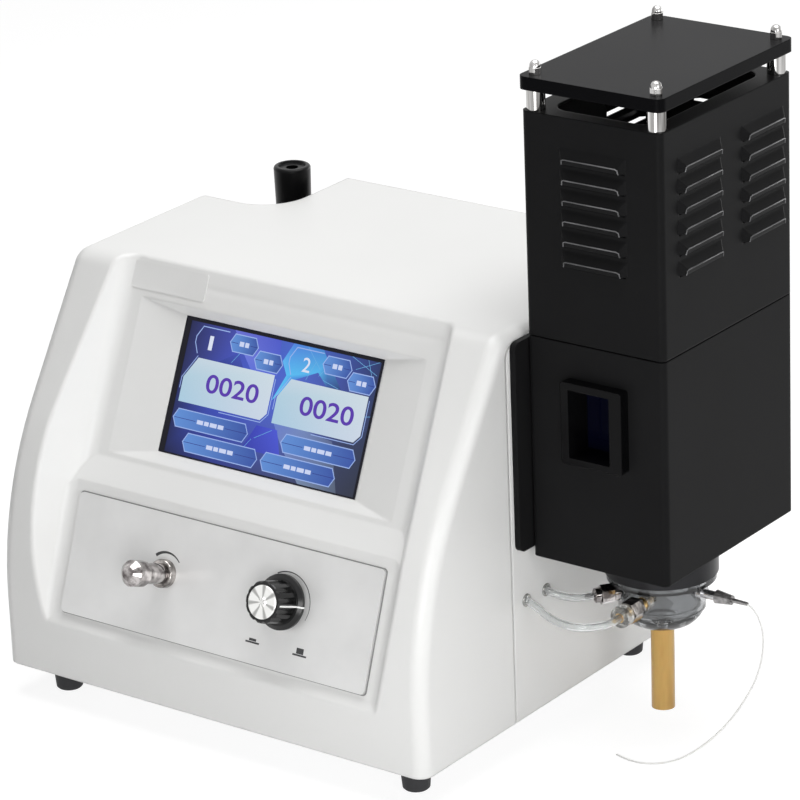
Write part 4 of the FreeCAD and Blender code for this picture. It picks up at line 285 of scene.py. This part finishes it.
nodeLooks = {
    "shellWhite": ["front_shell", "rear_shell"],
    "rubberBlack": ["rubber_feet"],
    "baseSteel": ["base_plate", "power_supply"],
    "panelSilver": ["control_panel"],
    "coverBlack": ["side_plate", "lower_cover", "upper_cover"],
    "lidBlack": ["lid"],
    "frameBlack": ["window_frame"],
    "glassBlue": ["window_glass"],
    "knobBlack": ["gas_knob"],
    "capBlack": ["regulator_knob"],
    "steelTurned": ["gas_valve_stem", "gas_valve_nut", "valve_needle", "regulator_screw",
                    "regulator_bracket", "burner_stem", "igniter", "nebulizer_body", "display_module"],
    "chromeBright": ["lid_standoffs", "lid_nuts"],
    "chromeKnob": ["fine_adjust_knob", "air_connector"],
    "chromeDark": ["fine_adjust_bushing", "gas_union_body"],
    "brassTurned": ["gas_valve_body", "gas_valve_rotor", "needle_valve_body", "air_inlet",
                    "gas_inlet", "gas_connector"],
    "zincCast": ["regulator_body"],
    "bowlClear": ["filter_bowl"],
    "acrylicShadedClear": ["mixing_chamber"],
    "sealClear": ["gas_union_rings"],
    "screenGlass": ["display_glass"],
    "tubeClear": ["gas_tube", "air_tube"],
    "rubberAmber": ["drain_tube"],
    "anodisedBlack": ["lens_barrel", "optics_block", "light_detectors", "chamber_collar"],
    "lensGlass": ["condenser_lens", "beam_splitter"],
    "filterRed": ["potassium_filter"],
    "filterYellow": ["sodium_filter"],
    "heatSteel": ["flame_chimney", "burner_head"],
    "boardGreen": ["main_board"],
    "plasticBlack": ["power_inlet", "switch_frame", "switch_rocker"],
    "plasticGrey": ["nebulizer_sleeve"],
}


def paint(node, made):
    mesh = nodes[node].data
    mesh.materials.clear()
    mesh.materials.append(made)


for look, names in nodeLooks.items():
    for name in names:
        paint(name, looks[look])


# the turned cap of the gas knob: fine rings, and a painted sheen in its colour, bright and dark sectors
# fanning out from its middle

gasKnob = {"x": 50.8, "y": 48.7, "bottom": 5.6, "skirt": 3.6}
spunCap = {"bright": (0.90, 0.90, 0.88), "dark": (0.40, 0.40, 0.39), "rays": 7.0, "metallic": 0.9,
           "roughness": 0.28, "ringPitch": 0.35, "ringBump": 0.25, "ringDepth": 0.00003}

knobAxis = panel @ Matrix.Translation(Vector((gasKnob["x"], gasKnob["y"], 0)) * mm)


def capMaterial():
    made, tree, shader, where = freshMaterial("capSpunPaintedSheen")
    fromMiddle = vectorMaths(tree, "SUBTRACT", where, knobAxis.to_translation())
    turn = knobAxis.to_3x3()
    across, up = (vectorMaths(tree, "DOT_PRODUCT", fromMiddle, turn @ Vector(axis))
                  for axis in ((1, 0, 0), (0, 1, 0)))
    fan = maths(tree, "SINE", maths(tree, "MULTIPLY", maths(tree, "ARCTAN2", up, across), spunCap["rays"]))
    share = maths(tree, "MULTIPLY", maths(tree, "ADD", fan, 1.0), 0.5)
    # painted highlight: the base colour swings between a bright and a dark tone round the middle, in
    # sectors
    tree.links.new(ramp(tree, share, [(0.02, spunCap["dark"]), (0.38, spunCap["bright"])]),
                   shader.inputs["Base Color"])
    away = maths(tree, "SQRT", maths(tree, "ADD", maths(tree, "MULTIPLY", across, across),
                                     maths(tree, "MULTIPLY", up, up)))
    rings = maths(tree, "SINE", maths(tree, "MULTIPLY", away, 2 * math.pi / (spunCap["ringPitch"] * mm)))
    bumpFrom(tree, shader, rings, spunCap["ringBump"], spunCap["ringDepth"])
    shader.inputs["Metallic"].default_value = spunCap["metallic"]
    shader.inputs["Roughness"].default_value = spunCap["roughness"]
    return made


paint("gas_knob_cap", capMaterial())
print("materials done")


# building helpers: outlines are lists of (x, y), and all sizes are in mm

def rectangle(x0, x1, y0, y1):
    return [(x0, y0), (x1, y0), (x1, y1), (x0, y1)]


def circle(radius, sides):
    turns = [2 * math.pi * k / sides for k in range(sides)]
    return [(radius * math.cos(t), radius * math.sin(t)) for t in turns]


def roundedBox(x0, x1, y0, y1, corner, steps=6):
    outline = []
    for cx, cy, start in ((x1 - corner, y0 + corner, -90), (x1 - corner, y1 - corner, 0),
                          (x0 + corner, y1 - corner, 90), (x0 + corner, y0 + corner, 180)):
        for k in range(steps + 1):
            angle = math.radians(start + 90 * k / steps)
            outline.append((cx + corner * math.cos(angle), cy + corner * math.sin(angle)))
    return outline


def ringAt(bm, matrix, outline, level):
    # new corners for this outline, at one height over a face
    return [bm.verts.new(matrix @ (Vector((x, y, level)) * mm)) for x, y in outline]


def wall(bm, rings):
    # quads from each ring of corners to the next
    for a, b in zip(rings, rings[1:]):
        for i in range(len(a)):
            j = (i + 1) % len(a)
            bm.faces.new((a[i], a[j], b[j], b[i]))


def plateOn(bm, matrix, outline, low, high):
    # a flat plate of this outline on a face, from low to high above it
    bottom, top = (ringAt(bm, matrix, outline, level) for level in (low, high))
    bm.faces.new(top)
    bm.faces.new(bottom[::-1])
    wall(bm, [bottom, top])


def frameOn(bm, matrix, outer, inner, low, high):
    # a band between two outlines with the same number of corners
    rings = [ringAt(bm, matrix, outline, level)
             for outline, level in ((outer, low), (outer, high), (inner, high), (inner, low))]
    wall(bm, rings + rings[:1])


def spin(bm, matrix, profile, sides, capped):
    # revolves (radius, height) points about the matrix's z; without caps the profile closes on itself
    rings = [ringAt(bm, matrix, circle(radius, sides), height) for radius, height in profile]
    if capped:
        wall(bm, rings)
        bm.faces.new(rings[0][::-1])
        bm.faces.new(rings[-1])
    else:
        wall(bm, rings + rings[:1])


def meshFrom(name, bm, made):
    mesh = bpy.data.meshes.new(name)
    bm.to_mesh(mesh)
    bm.free()
    mesh.materials.append(made)
    return added(name, mesh)


def addMesh(name, bm, made, body=root, smooth=False):
    bmesh.ops.recalc_face_normals(bm, faces=bm.faces)
    piece = meshFrom(name, bm, made)
    for polygon in piece.data.polygons:
        polygon.use_smooth = smooth
    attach(piece, body)
    return piece


def curveFrom(name, kind, routes, radius, segments, made):
    # a round line along each route; a route's places are in metres
    curve = bpy.data.curves.new(name, "CURVE")
    curve.dimensions = "3D"
    curve.bevel_depth = radius * mm
    curve.bevel_resolution = segments
    curve.materials.append(made)
    for route in routes:
        line = curve.splines.new(kind)
        line.points.add(len(route) - 1)
        for point, place in zip(line.points, route):
            point.co = (*place, 1)
    return added(name, curve)


# the sample capillary: from the nebulizer's tip, down and round onto the bench

capillary = {"radius": 0.55, "tip": (276.5, 183.55, 72.5), "bench": -21.45}


def makeCapillary():
    x, y, z = capillary["tip"]
    bench = capillary["bench"]
    route = [(x - 4, y, z), (x + 1.5, y, z), (x + 8.2, y - 0.4, z - 6.4), (x + 12.3, y - 1.6, z - 16.9),
             (x + 13.1, y - 4.2, z - 30), (x + 11.2, y - 8, z - 43.4), (x + 7, y - 13.2, z - 55.6),
             (x + 0.3, y - 19.8, z - 69), (x - 7.8, y - 27.4, z - 80.2), (x - 16.4, y - 34.6, z - 88.6),
             (x - 25.2, y - 43, bench), (x - 33.5, y - 54, bench), (x - 47.5, y - 59, bench),
             (x - 60.8, y - 55, bench)]
    piece = curveFrom("sampleCapillary", "NURBS", [[at(*place) for place in route]],
                      capillary["radius"], 4, looks["ptfeWhite"])
    piece.data.use_fill_caps = True
    line = piece.data.splines[0]
    line.order_u = 3
    line.use_endpoint_u = True
    line.resolution_u = 10
    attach(piece, root)
    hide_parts("capillary_tube")


makeCapillary()
print("cord done")


# display: a dark glass with a blue picture of flat lit figures, laid out in mm from its lower left.
# its tones are red, green and blue as 0 to 255

display = {
    "width": 153.4, "height": 86.7, "depth": 6.0, "light": 0.94, "flicker": 0.07, "pixelScale": 2400,
    "glass": (0.006, 0.006, 0.012), "roughness": 0.16, "specular": 0.15,
    "black": (7, 6, 9), "digit": (88, 54, 172), "channel": (222, 228, 246), "label": (206, 216, 246),
    "line": (156, 182, 238), "thread": (44, 54, 132), "ray": (112, 180, 230),
    "buttonLeft": (95, 142, 213), "buttonRight": (57, 86, 166),
    "plate": [(172, 206, 226), (204, 216, 232), (206, 218, 234), (208, 222, 230), (200, 216, 228),
              (178, 208, 224)],
    "outlineWidth": 0.6, "rimWidth": 0.5, "threadWidth": 0.35, "rayWidth": 0.28, "plateY": (33.5, 62.5),
    "digitY": 42.4, "digitSize": (41.0, 11.8), "digitWeight": 0.013,
    "channelY": 68.4, "channelHeight": 9.0, "channelWeight": 0.006,
}
screenWide, screenHigh = display["width"], display["height"]

# how far each kind of figure lies over the picture's plane
levels = {"ground": 0.03, "shard": 0.06, "overShard": 0.07, "ray": 0.09, "plate": 0.12, "line": 0.15,
          "sign": 0.16, "margin": 0.18}

# the picture's ground: places across and up, and a tone for each crossing
groundX, groundY = (0, 42, 92, screenWide), (0, 43, screenHigh)
groundTones = [[(18, 22, 45), (42, 54, 132), (62, 71, 113), (46, 51, 62)],
               [(28, 35, 74), (63, 83, 196), (82, 103, 202), (48, 58, 89)],
               [(24, 27, 52), (68, 78, 173), (72, 103, 202), (37, 51, 95)]]

# slanting shards of lighter blue: kind, corners and a tone for each corner
shards = [
    ("shard", [(110, 0), (139, 0), (128, 31), (104, 34), (82, 34), (90, 22.5)],
     [(120, 139, 169), (86, 97, 115), (92, 105, 142), (115, 137, 190), (104, 127, 204), (112, 132, 194)]),
    ("shard", [(57, 62), (77, 62), (75, screenHigh), (37, screenHigh), (49, 71)],
     [(92, 112, 218), (84, 103, 212), (74, 87, 200), (106, 112, 210), (110, 122, 220)]),
    ("overShard", [(30, 62), (51, 62), (45, 71)], [(46, 60, 144), (56, 71, 161), (63, 81, 182)]),
    ("shard", [(77, 47), (86, 57), (92, 63), (107, 70), (116, 62), (126, 63), (112, 79), (106, screenHigh),
               (86, screenHigh), (79, 72), (84, 64)],
     [(92, 205, 247), (84, 171, 239), (70, 134, 220), (84, 183, 239), (56, 85, 155), (44, 68, 123),
      (78, 157, 222), (63, 117, 196), (76, 122, 220), (96, 183, 243), (87, 190, 245)]),
    ("shard", [(62, 14), (92, 14), (86, 30), (70, 30)],
     [(50, 58, 165), (70, 81, 202), (74, 87, 212), (58, 68, 188)]),
]
rays = [((128, 85), (150, 76)), ((134, 77), (152, 85)), ((141, 86), (150, 68)), ((70, 22), (82, 29)),
        ((41, 64), (47, 72)), ((108, 68), (118, 80)), ((112, 66), (124, 63)), ((96, 84), (108, 72)),
        ((147, 50), (152, 51)), ((60, 10), (68, 21)), ((99, 64), (104, 76))]

# two readouts, each with its channel number, two small buttons and two wide ones
readouts = [
    {"left": 7.0, "right": 75.6, "cut": 13.5, "digits": 25.5, "channel": "1", "channelWidth": 3.0},
    {"left": 80.5, "right": 147.5, "cut": 12.5, "digits": 98.8, "channel": "2", "channelWidth": 5.8},
]
smallButtons = {"bars": (3.4, 3.0), "barHeight": 3.0,
                "places": [(37, 59, 71, 82), (57.8, 79.7, 63.8, 75), (109.3, 131.3, 70.4, 81.4),
                           (129.7, 150.8, 63.6, 74.8)]}
wideButtons = {"bars": (4.8, 3.6, 5.4, 4.4), "barHeight": 2.6,
               "places": [(5.8, 64.6, 17.7, 29.0), (17, 75.6, 3.8, 15.2), (90.6, 147.5, 17.7, 29.0),
                          (78.4, 135.5, 3.8, 15.2)]}

# the black margin of the panel: left, right, top and bottom
margins = [(0, 4.6, 0, screenHigh), (screenWide - 1.8, screenWide, 0, screenHigh),
           (4.6, screenWide - 1.8, screenHigh - 2.4, screenHigh), (4.6, screenWide - 1.8, 0, 1.0)]


def tint(tone):
    # a tone written as 0 to 255, as linear light
    return tuple(c / 255 / 12.92 if c <= 10 else ((c / 255 + 0.055) / 1.055) ** 2.4 for c in tone)


def screenMaterial():
    made, tree, shader, where = freshMaterial("screenPicture")
    tone = tree.nodes.new("ShaderNodeVertexColor")
    tone.layer_name = "tone"
    tree.links.new(tone.outputs["Color"], shader.inputs["Emission Color"])
    pixels = noiseNode(tree, where, display["pixelScale"], 2.0)
    tree.links.new(scaled(tree, pixels, display["light"] - display["flicker"],
                          display["light"] + display["flicker"]), shader.inputs["Emission Strength"])
    shader.inputs["Base Color"].default_value = (*display["glass"], 1)
    shader.inputs["Roughness"].default_value = display["roughness"]
    shader.inputs["Specular IOR Level"].default_value = display["specular"]
    return made


def litFigure(bm, outline, tones, kind):
    # one tone for all corners or one for each
    if isinstance(tones[0], int):
        tones = [tones] * len(outline)
    centred = [(x - screenWide / 2, y - screenHigh / 2) for x, y in outline]
    made = bm.faces.new(ringAt(bm, face, centred, levels[kind] - display["depth"]))
    layer = bm.loops.layers.float_color["tone"]
    for loop, tone in zip(made.loops, tones):
        loop[layer] = (*tint(tone), 1)


def litLine(bm, points, width, tone, kind="line"):
    for start, end in zip(points, points[1:]):
        a, b = Vector(start), Vector(end)
        along = (b - a).normalized() * width / 2
        side = Vector((-along.y, along.x))
        litFigure(bm, [a - along - side, b + along - side, b + along + side, a - along + side], tone, kind)


def litNumber(bm, words, x, y, width, height, weight, tone):
    # the shape of the number, fitted into a box of this width and height
    text = bpy.data.curves.new("numberShape", "FONT")
    text.body = words
    text.offset = weight
    holder = bpy.data.objects.new("numberShape", text)
    mesh = bpy.data.meshes.new_from_object(holder)
    xs = [v.co.x for v in mesh.vertices]
    ys = [v.co.y for v in mesh.vertices]
    kx, ky = width / (max(xs) - min(xs)), height / (max(ys) - min(ys))
    for polygon in mesh.polygons:
        outline = [(x + (mesh.vertices[i].co.x - min(xs)) * kx, y + (mesh.vertices[i].co.y - min(ys)) * ky)
                   for i in polygon.vertices]
        litFigure(bm, outline, tone, "sign")
    bpy.data.objects.remove(holder)
    bpy.data.curves.remove(text)
    bpy.data.meshes.remove(mesh)


def litButton(bm, x0, x1, y0, y1, bars, barHeight):
    # a six-sided button with a row of bars on it, and a fine thread from the bars to either tip
    middle, tip = (y0 + y1) / 2, (y1 - y0) * 0.27
    left, right = display["buttonLeft"], display["buttonRight"]
    outline = [(x0, middle), (x0 + tip, y0), (x1 - tip, y0), (x1, middle), (x1 - tip, y1), (x0 + tip, y1)]
    litFigure(bm, outline, [left, left, right, right, right, left], "plate")
    litLine(bm, outline + outline[:1], display["outlineWidth"], display["line"])
    gap, room = 0.9, 1.4
    reach = sum(bars) + (len(bars) - 1) * gap
    start = (x0 + x1 - reach) / 2
    for near, far in ((x0 + 1, start - room), (start + reach + room, x1 - 1)):
        litLine(bm, [(near, middle), (far, middle)], display["threadWidth"], display["thread"])
    for bar in bars:
        litFigure(bm, rectangle(start, start + bar, middle - barHeight / 2, middle + barHeight / 2),
                  display["label"], "sign")
        start += bar + gap


def litReadout(bm, readout):
    # a light plate with two cut corners, a thin line round each, its digits and its channel's sign
    left, right, cut = readout["left"], readout["right"], readout["cut"]
    low, high = display["plateY"]
    litFigure(bm, [(left, low), (right - 4.2, low), (right, low + 4.7), (right, high),
                   (left + cut * 0.63, high), (left, high - cut)], display["plate"], "plate")
    for rim in ([(left - 1.2, low + 8.5), (left - 1.2, high - 0.3 - cut), (left + cut * 0.57, high + 0.9)],
                [(right + 1.2, high - 2.5), (right + 1.2, low + 4.3), (right - 3.7, low - 1.3),
                 (right - 36, low - 1.3)]):
        litLine(bm, rim, display["rimWidth"], display["line"])
    litNumber(bm, "0020", readout["digits"], display["digitY"], *display["digitSize"],
              display["digitWeight"], display["digit"])
    litLine(bm, [(left + 28, 82.3), (left + 7.6, 82.3), (left + 3.6, 75.5), (left + 3.6, 71.5),
                 (left + 6.6, 65.2)], display["outlineWidth"], display["line"])
    litNumber(bm, readout["channel"], left + 14, display["channelY"], readout["channelWidth"],
              display["channelHeight"], display["channelWeight"], display["channel"])


def makeDisplay():
    bm = bmesh.new()
    bm.loops.layers.float_color.new("tone")
    for i in range(len(groundX) - 1):
        for j in range(len(groundY) - 1):
            litFigure(bm, rectangle(groundX[i], groundX[i + 1], groundY[j], groundY[j + 1]),
                      [groundTones[j][i], groundTones[j][i + 1], groundTones[j + 1][i + 1],
                       groundTones[j + 1][i]], "ground")
    for kind, outline, tones in shards:
        litFigure(bm, outline, tones, kind)
    for ray in rays:
        litLine(bm, ray, display["rayWidth"], display["ray"], "ray")
    for readout in readouts:
        litReadout(bm, readout)
    for buttons in (smallButtons, wideButtons):
        for place in buttons["places"]:
            litButton(bm, *place, buttons["bars"], buttons["barHeight"])
    for margin in margins:
        litFigure(bm, rectangle(*margin), display["black"], "margin")
    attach(meshFrom("screenPicture", bm, screenMaterial()), root)


makeDisplay()
print("display done")


# control panel: a painted shadow line round the plate, where the gap between plate and bed lies in shade,
# an arc that swells, a thin ring and two push signs

gapShadow = {"halfWidth": 119.0, "low": 6.3, "high": 83.0, "corner": 2.0, "wide": 0.7, "bottom": 0.02,
          "top": 0.5}

# each arc: middle, radius, first and last angle, first and last width.
# each sign: place and how far its button stands out; all bars and all buttons are alike otherwise
marks = {"plate": 2.0, "lift": 0.05, "bar": {"half": 5.2, "height": 1.1},
         "button": {"half": 2.7, "low": 0.3, "high": 1.9},
         "arcs": [(-43.1, 46.3, 13.2, 132, 42, 2.0, 0.6),
                  (gasKnob["x"], gasKnob["y"], 18.5, 120, -25, 0.8, 0.3)],
         "signs": [(31.6, 20.0, 0.0), (67.8, 19.8, 2.0)]}


def arcOutline(x, y, radius, start, end, wideStart, wideEnd, steps=28):
    outer, inner = [], []
    for k in range(steps + 1):
        share = k / steps
        angle = math.radians(start + (end - start) * share)
        half = (wideStart + (wideEnd - wideStart) * share) / 2
        for side, reach in ((outer, radius + half), (inner, radius - half)):
            side.append((x + reach * math.cos(angle), y + reach * math.sin(angle)))
    return outer + inner[::-1]


def makeGapShadow():
    # a dark band on the bed round the plate: painted shade of the gap
    half, low, high, corner, wide = (gapShadow[k] for k in ("halfWidth", "low", "high", "corner", "wide"))
    bm = bmesh.new()
    frameOn(bm, panel, roundedBox(-half - wide, half + wide, low - wide, high + wide, corner + wide),
            roundedBox(-half, half, low, high, corner), gapShadow["bottom"], gapShadow["top"])
    addMesh("panelGapShadow", bm, looks["gapShadowGrey"])


def makeMarks():
    bar, button = marks["bar"], marks["button"]
    outlines = [arcOutline(*arc) for arc in marks["arcs"]]
    for x, y, raised in marks["signs"]:
        outlines += [rectangle(x - bar["half"], x + bar["half"], y - bar["height"], y),
                     rectangle(x - button["half"], x + button["half"], y + button["low"],
                               y + button["high"] + raised)]
    bm = bmesh.new()
    for outline in outlines:
        plateOn(bm, panel, outline, marks["plate"], marks["plate"] + marks["lift"])
    addMesh("panelMarks", bm, looks["inkAndShadeBlack"])


def makePointer():
    # a white inlay down the grip's side and over the skirt: its outline is (radius, height over the panel)
    foot = gasKnob["bottom"]
    top = foot + gasKnob["skirt"]
    halfWidth = 0.5
    outline = [(12.3, top + 15.7), (12.96, top + 15.7), (13.92, top + 0.1), (14.7, top + 0.1),
               (17.28, top - 1.5), (17.28, foot + 0.1), (16.6, foot + 0.1), (16.6, top - 2),
               (14.3, top - 0.6), (12.3, top - 0.6)]
    onEdge = Matrix(((1, 0, 0), (0, 0, -1), (0, 1, 0))).to_4x4()
    bm = bmesh.new()
    plateOn(bm, knobAxis @ onEdge, outline, -halfWidth, halfWidth)
    addMesh("knobPointer", bm, looks["inkWhite"], "gas_knob_group")


makeGapShadow()
makeMarks()
makePointer()


# a bare plate where a badge would be

badge = {"x0": -121.0, "x1": -62.0, "y0": 53.5, "y1": 70.5, "thick": 0.5, "corner": 1.5}


def makeBadge():
    bm = bmesh.new()
    plateOn(bm, face, roundedBox(badge["x0"], badge["x1"], badge["y0"], badge["y1"], badge["corner"]),
            0.0, badge["thick"])
    addMesh("barePlate", bm, looks["labelWhite"])


makeBadge()
print("marks done")


# painted highlights on the louvres: a thin lighter bead round each hood's mouth, standing in for the
# glints on its pressed edges.
# one hood's half width, depth, lip and crest; the rows and the bead; the faces and columns they are on

louvres = {"half": 23.0, "depth": 4.0, "lip": 3.2, "crest": 3.24, "first": 361.0, "pitch": 12.6, "rows": 6,
           "bead": 0.4, "middleX": 218.5, "sideY": 187.05, "step": 34.5, "left": 168.5, "right": 265.5,
           "front": 112.3, "back": 254.8}


def makeLouvreGlints():
    v = louvres
    columns = [(v["middleX"], v["front"], 0), (v["middleX"], v["back"], 180)]
    for y in (v["sideY"] - v["step"], v["sideY"] + v["step"]):
        columns += [(v["right"], y, 90), (v["left"], y, -90)]
    crestHalf, lipHalf = v["half"] - v["depth"], v["half"] - v["lip"]
    rightEnd = [(crestHalf - 1.2, -v["depth"], v["crest"]),
                (crestHalf + 0.4, -v["depth"] + 0.3, v["crest"] - 0.6),
                (lipHalf - 0.3, -v["lip"] - 0.3, 1.2), (lipHalf, -v["lip"], 0)]
    mouth = [(-x, y, z) for x, y, z in reversed(rightEnd)] + rightEnd
    routes = []
    for x, y, turn in columns:
        around = Matrix.Rotation(math.radians(turn), 3, "Z")
        for row in range(v["rows"]):
            middle = Vector((x, y, v["first"] - row * v["pitch"]))
            routes.append([at(*(middle + around @ Vector(place))) for place in mouth])
    # the beads carry painted highlights along each louvre's crest, ends and lip
    piece = curveFrom("louvreGlintBeads", "POLY", routes, v["bead"], 2, looks["louvreGlint"])
    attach(piece, root)


makeLouvreGlints()
print("louvres done")


# small things: back and inlet screws, the switch's two signs and a soft ring round each tube.
# each screw: x, z and radius; each sign: x, height over the back, its slope and if it's a ring

back = {"depth": 289.0, "screws": [(-150, 14, 3.4), (150, 14, 3.4), (150, 226, 3.4), (-86, 226, 3.4)],
        "inletScrews": [(-80, 42, 2.7), (-40, 42, 2.7)], "flange": 2.5, "signZ": 42.0, "ink": 0.12,
        "signs": [(4.3, 2.98, 16.6, False), (-4.3, 1.465, 3.1, True)]}
sleeves = {"side": 164.5, "tubes": [(110.0, 77.0), (131.0, 76.0)], "inner": 2.7, "outer": 4.1}


def backward(x, y, z):
    # a frame on the back: its z points to the rear
    return Matrix.Translation(at(x, y, z)) @ Matrix(((-1, 0, 0), (0, 0, 1), (0, 1, 0))).to_4x4()


def addScrew(metal, cross, matrix, radius):
    # a domed head with a black cross on it, painted shade standing in for the cross recess
    high = radius * 0.55
    dome = [(1, 0), (1, 0.3), (0.9, 0.62), (0.68, 0.88), (0.4, 0.98)]
    spin(metal, matrix, [(radius * r, high * z) for r, z in dome] + [(0.15, high)], 32, True)
    reach, half = radius * 0.55, radius * 0.1
    for wide, tall in ((reach, half), (half, reach)):
        plateOn(cross, matrix, rectangle(-wide, wide, -tall, tall), high * 0.7, high + 0.03)


def makeScrews():
    metal, cross = bmesh.new(), bmesh.new()
    flangeDepth = back["depth"] + back["flange"]
    for screws, depth in ((back["screws"], back["depth"]), (back["inletScrews"], flangeDepth)):
        for x, z, radius in screws:
            addScrew(metal, cross, backward(x, depth, z), radius)
    addMesh("backScrews", metal, looks["steelTurned"], smooth=True)
    addMesh("screwCrosses", cross, looks["inkAndShadeBlack"])


def makeSwitchSigns():
    # the signs lie on the rocker's two slopes
    bm = bmesh.new()
    for x, rise, lean, ringed in back["signs"]:
        slope = Matrix.Rotation(math.radians(lean), 4, "Y")
        spot = backward(x, back["depth"] + rise, back["signZ"]) @ slope
        if ringed:
            outer = circle(1.5, 32)
            frameOn(bm, spot, outer, [(a * 0.68, b * 0.68) for a, b in outer], 0.0, back["ink"])
        else:
            plateOn(bm, spot, rectangle(-0.25, 0.25, -1.6, 1.6), 0.0, back["ink"])
    addMesh("switchSigns", bm, looks["inkWhite"], "switch")


def makeTubeRings():
    bm = bmesh.new()
    inner, outer = sleeves["inner"], sleeves["outer"]
    profile = [(outer, 0), (outer, 0.6), (outer - 0.4, 1.0), (inner + 0.3, 1.0), (inner, 0.7), (inner, 0)]
    for y, z in sleeves["tubes"]:
        sideways = Matrix.Translation(at(sleeves["side"], y, z)) @ Matrix.Rotation(math.pi / 2, 4, "Y")
        spin(bm, sideways, profile, 40, False)
    addMesh("tubeRings", bm, looks["sealClear"], smooth=True)


makeScrews()
makeSwitchSigns()
makeTubeRings()
print("fittings done")


# floor, light and background: the floor's size is half its width in metres

studio = {"floor": (0.93, 0.93, 0.93), "floorSize": 6.0, "world": 0.0, "seenWorld": 1.0, "glow": 1.2,
          "glowShare": 0.73}

# each lamp: place and target (mm), size (m), watts
lamps = {
    "top": ((150, 350, 2000), (60, 150, 200), (1.8, 1.8), 43.5),
    "near": ((520, -620, 240), (100, 0, 80), (0.4, 0.4), 2.9),
    "strip": ((2100, -500, 300), (150, 100, 250), (1.0, 1.8), 15.5),
    "back": ((500, 2200, 240), (0, 280, 140), (1.6, 0.45), 9.0),
}


def seenRays(tree):
    # 1 for a ray from the eye, off a gloss or through glass
    path = tree.nodes.new("ShaderNodeLightPath")
    result = path.outputs["Is Camera Ray"]
    for kind in ("Is Glossy Ray", "Is Transmission Ray"):
        result = maths(tree, "MAXIMUM", result, path.outputs[kind])
    return result


def floorMaterial():
    made, tree, shader, where = freshMaterial("floorPaper")
    tone = studio["floor"]
    grain = noiseNode(tree, where, 40, 3.0)
    tree.links.new(ramp(tree, grain, [(0.3, tuple(c * 0.995 for c in tone)), (0.7, tone)]),
                   shader.inputs["Base Color"])
    shader.inputs["Roughness"].default_value = 0.9
    shader.inputs["Specular IOR Level"].default_value = 0.1
    # seen directly, the paper is lifted towards white and still carries the shadow
    glow = tree.nodes.new("ShaderNodeEmission")
    glow.inputs["Strength"].default_value = studio["glow"]
    mix = tree.nodes.new("ShaderNodeMixShader")
    tree.links.new(maths(tree, "MULTIPLY", seenRays(tree), studio["glowShare"]), mix.inputs["Fac"])
    tree.links.new(shader.outputs["BSDF"], mix.inputs[1])
    tree.links.new(glow.outputs["Emission"], mix.inputs[2])
    tree.links.new(mix.outputs["Shader"], tree.nodes["Material Output"].inputs["Surface"])
    return made


def makeFloor():
    bm = bmesh.new()
    size = studio["floorSize"]
    bm.faces.new([bm.verts.new((x, y, 0)) for x, y in rectangle(-size, size, -size, size)])
    floor = meshFrom("floor", bm, floorMaterial())


def makeWorld():
    # dark for the light that falls on the part, white for what is seen
    world = bpy.data.worlds.new("studio")
    scene.world = world
    world.use_nodes = True
    tree = world.node_tree
    tree.nodes.clear()
    mix = tree.nodes.new("ShaderNodeMixShader")
    tree.links.new(seenRays(tree), mix.inputs["Fac"])
    for socket, strength in ((1, studio["world"]), (2, studio["seenWorld"])):
        background = tree.nodes.new("ShaderNodeBackground")
        background.inputs["Color"].default_value = (1, 1, 1, 1)
        background.inputs["Strength"].default_value = strength
        tree.links.new(background.outputs["Background"], mix.inputs[socket])
    out = tree.nodes.new("ShaderNodeOutputWorld")
    tree.links.new(mix.outputs["Shader"], out.inputs["Surface"])


def makeLamp(name, place, target, size, power):
    data = bpy.data.lights.new(name, "AREA")
    data.shape = "RECTANGLE"
    data.size, data.size_y = size
    data.energy = power
    spot = at(*place)
    aim = (at(*target) - spot).to_track_quat("-Z", "Y").to_matrix().to_4x4()
    added(name, data).matrix_world = Matrix.Translation(spot) @ aim


makeFloor()
makeWorld()
for name, lamp in lamps.items():
    makeLamp(name, *lamp)
print("studio done")
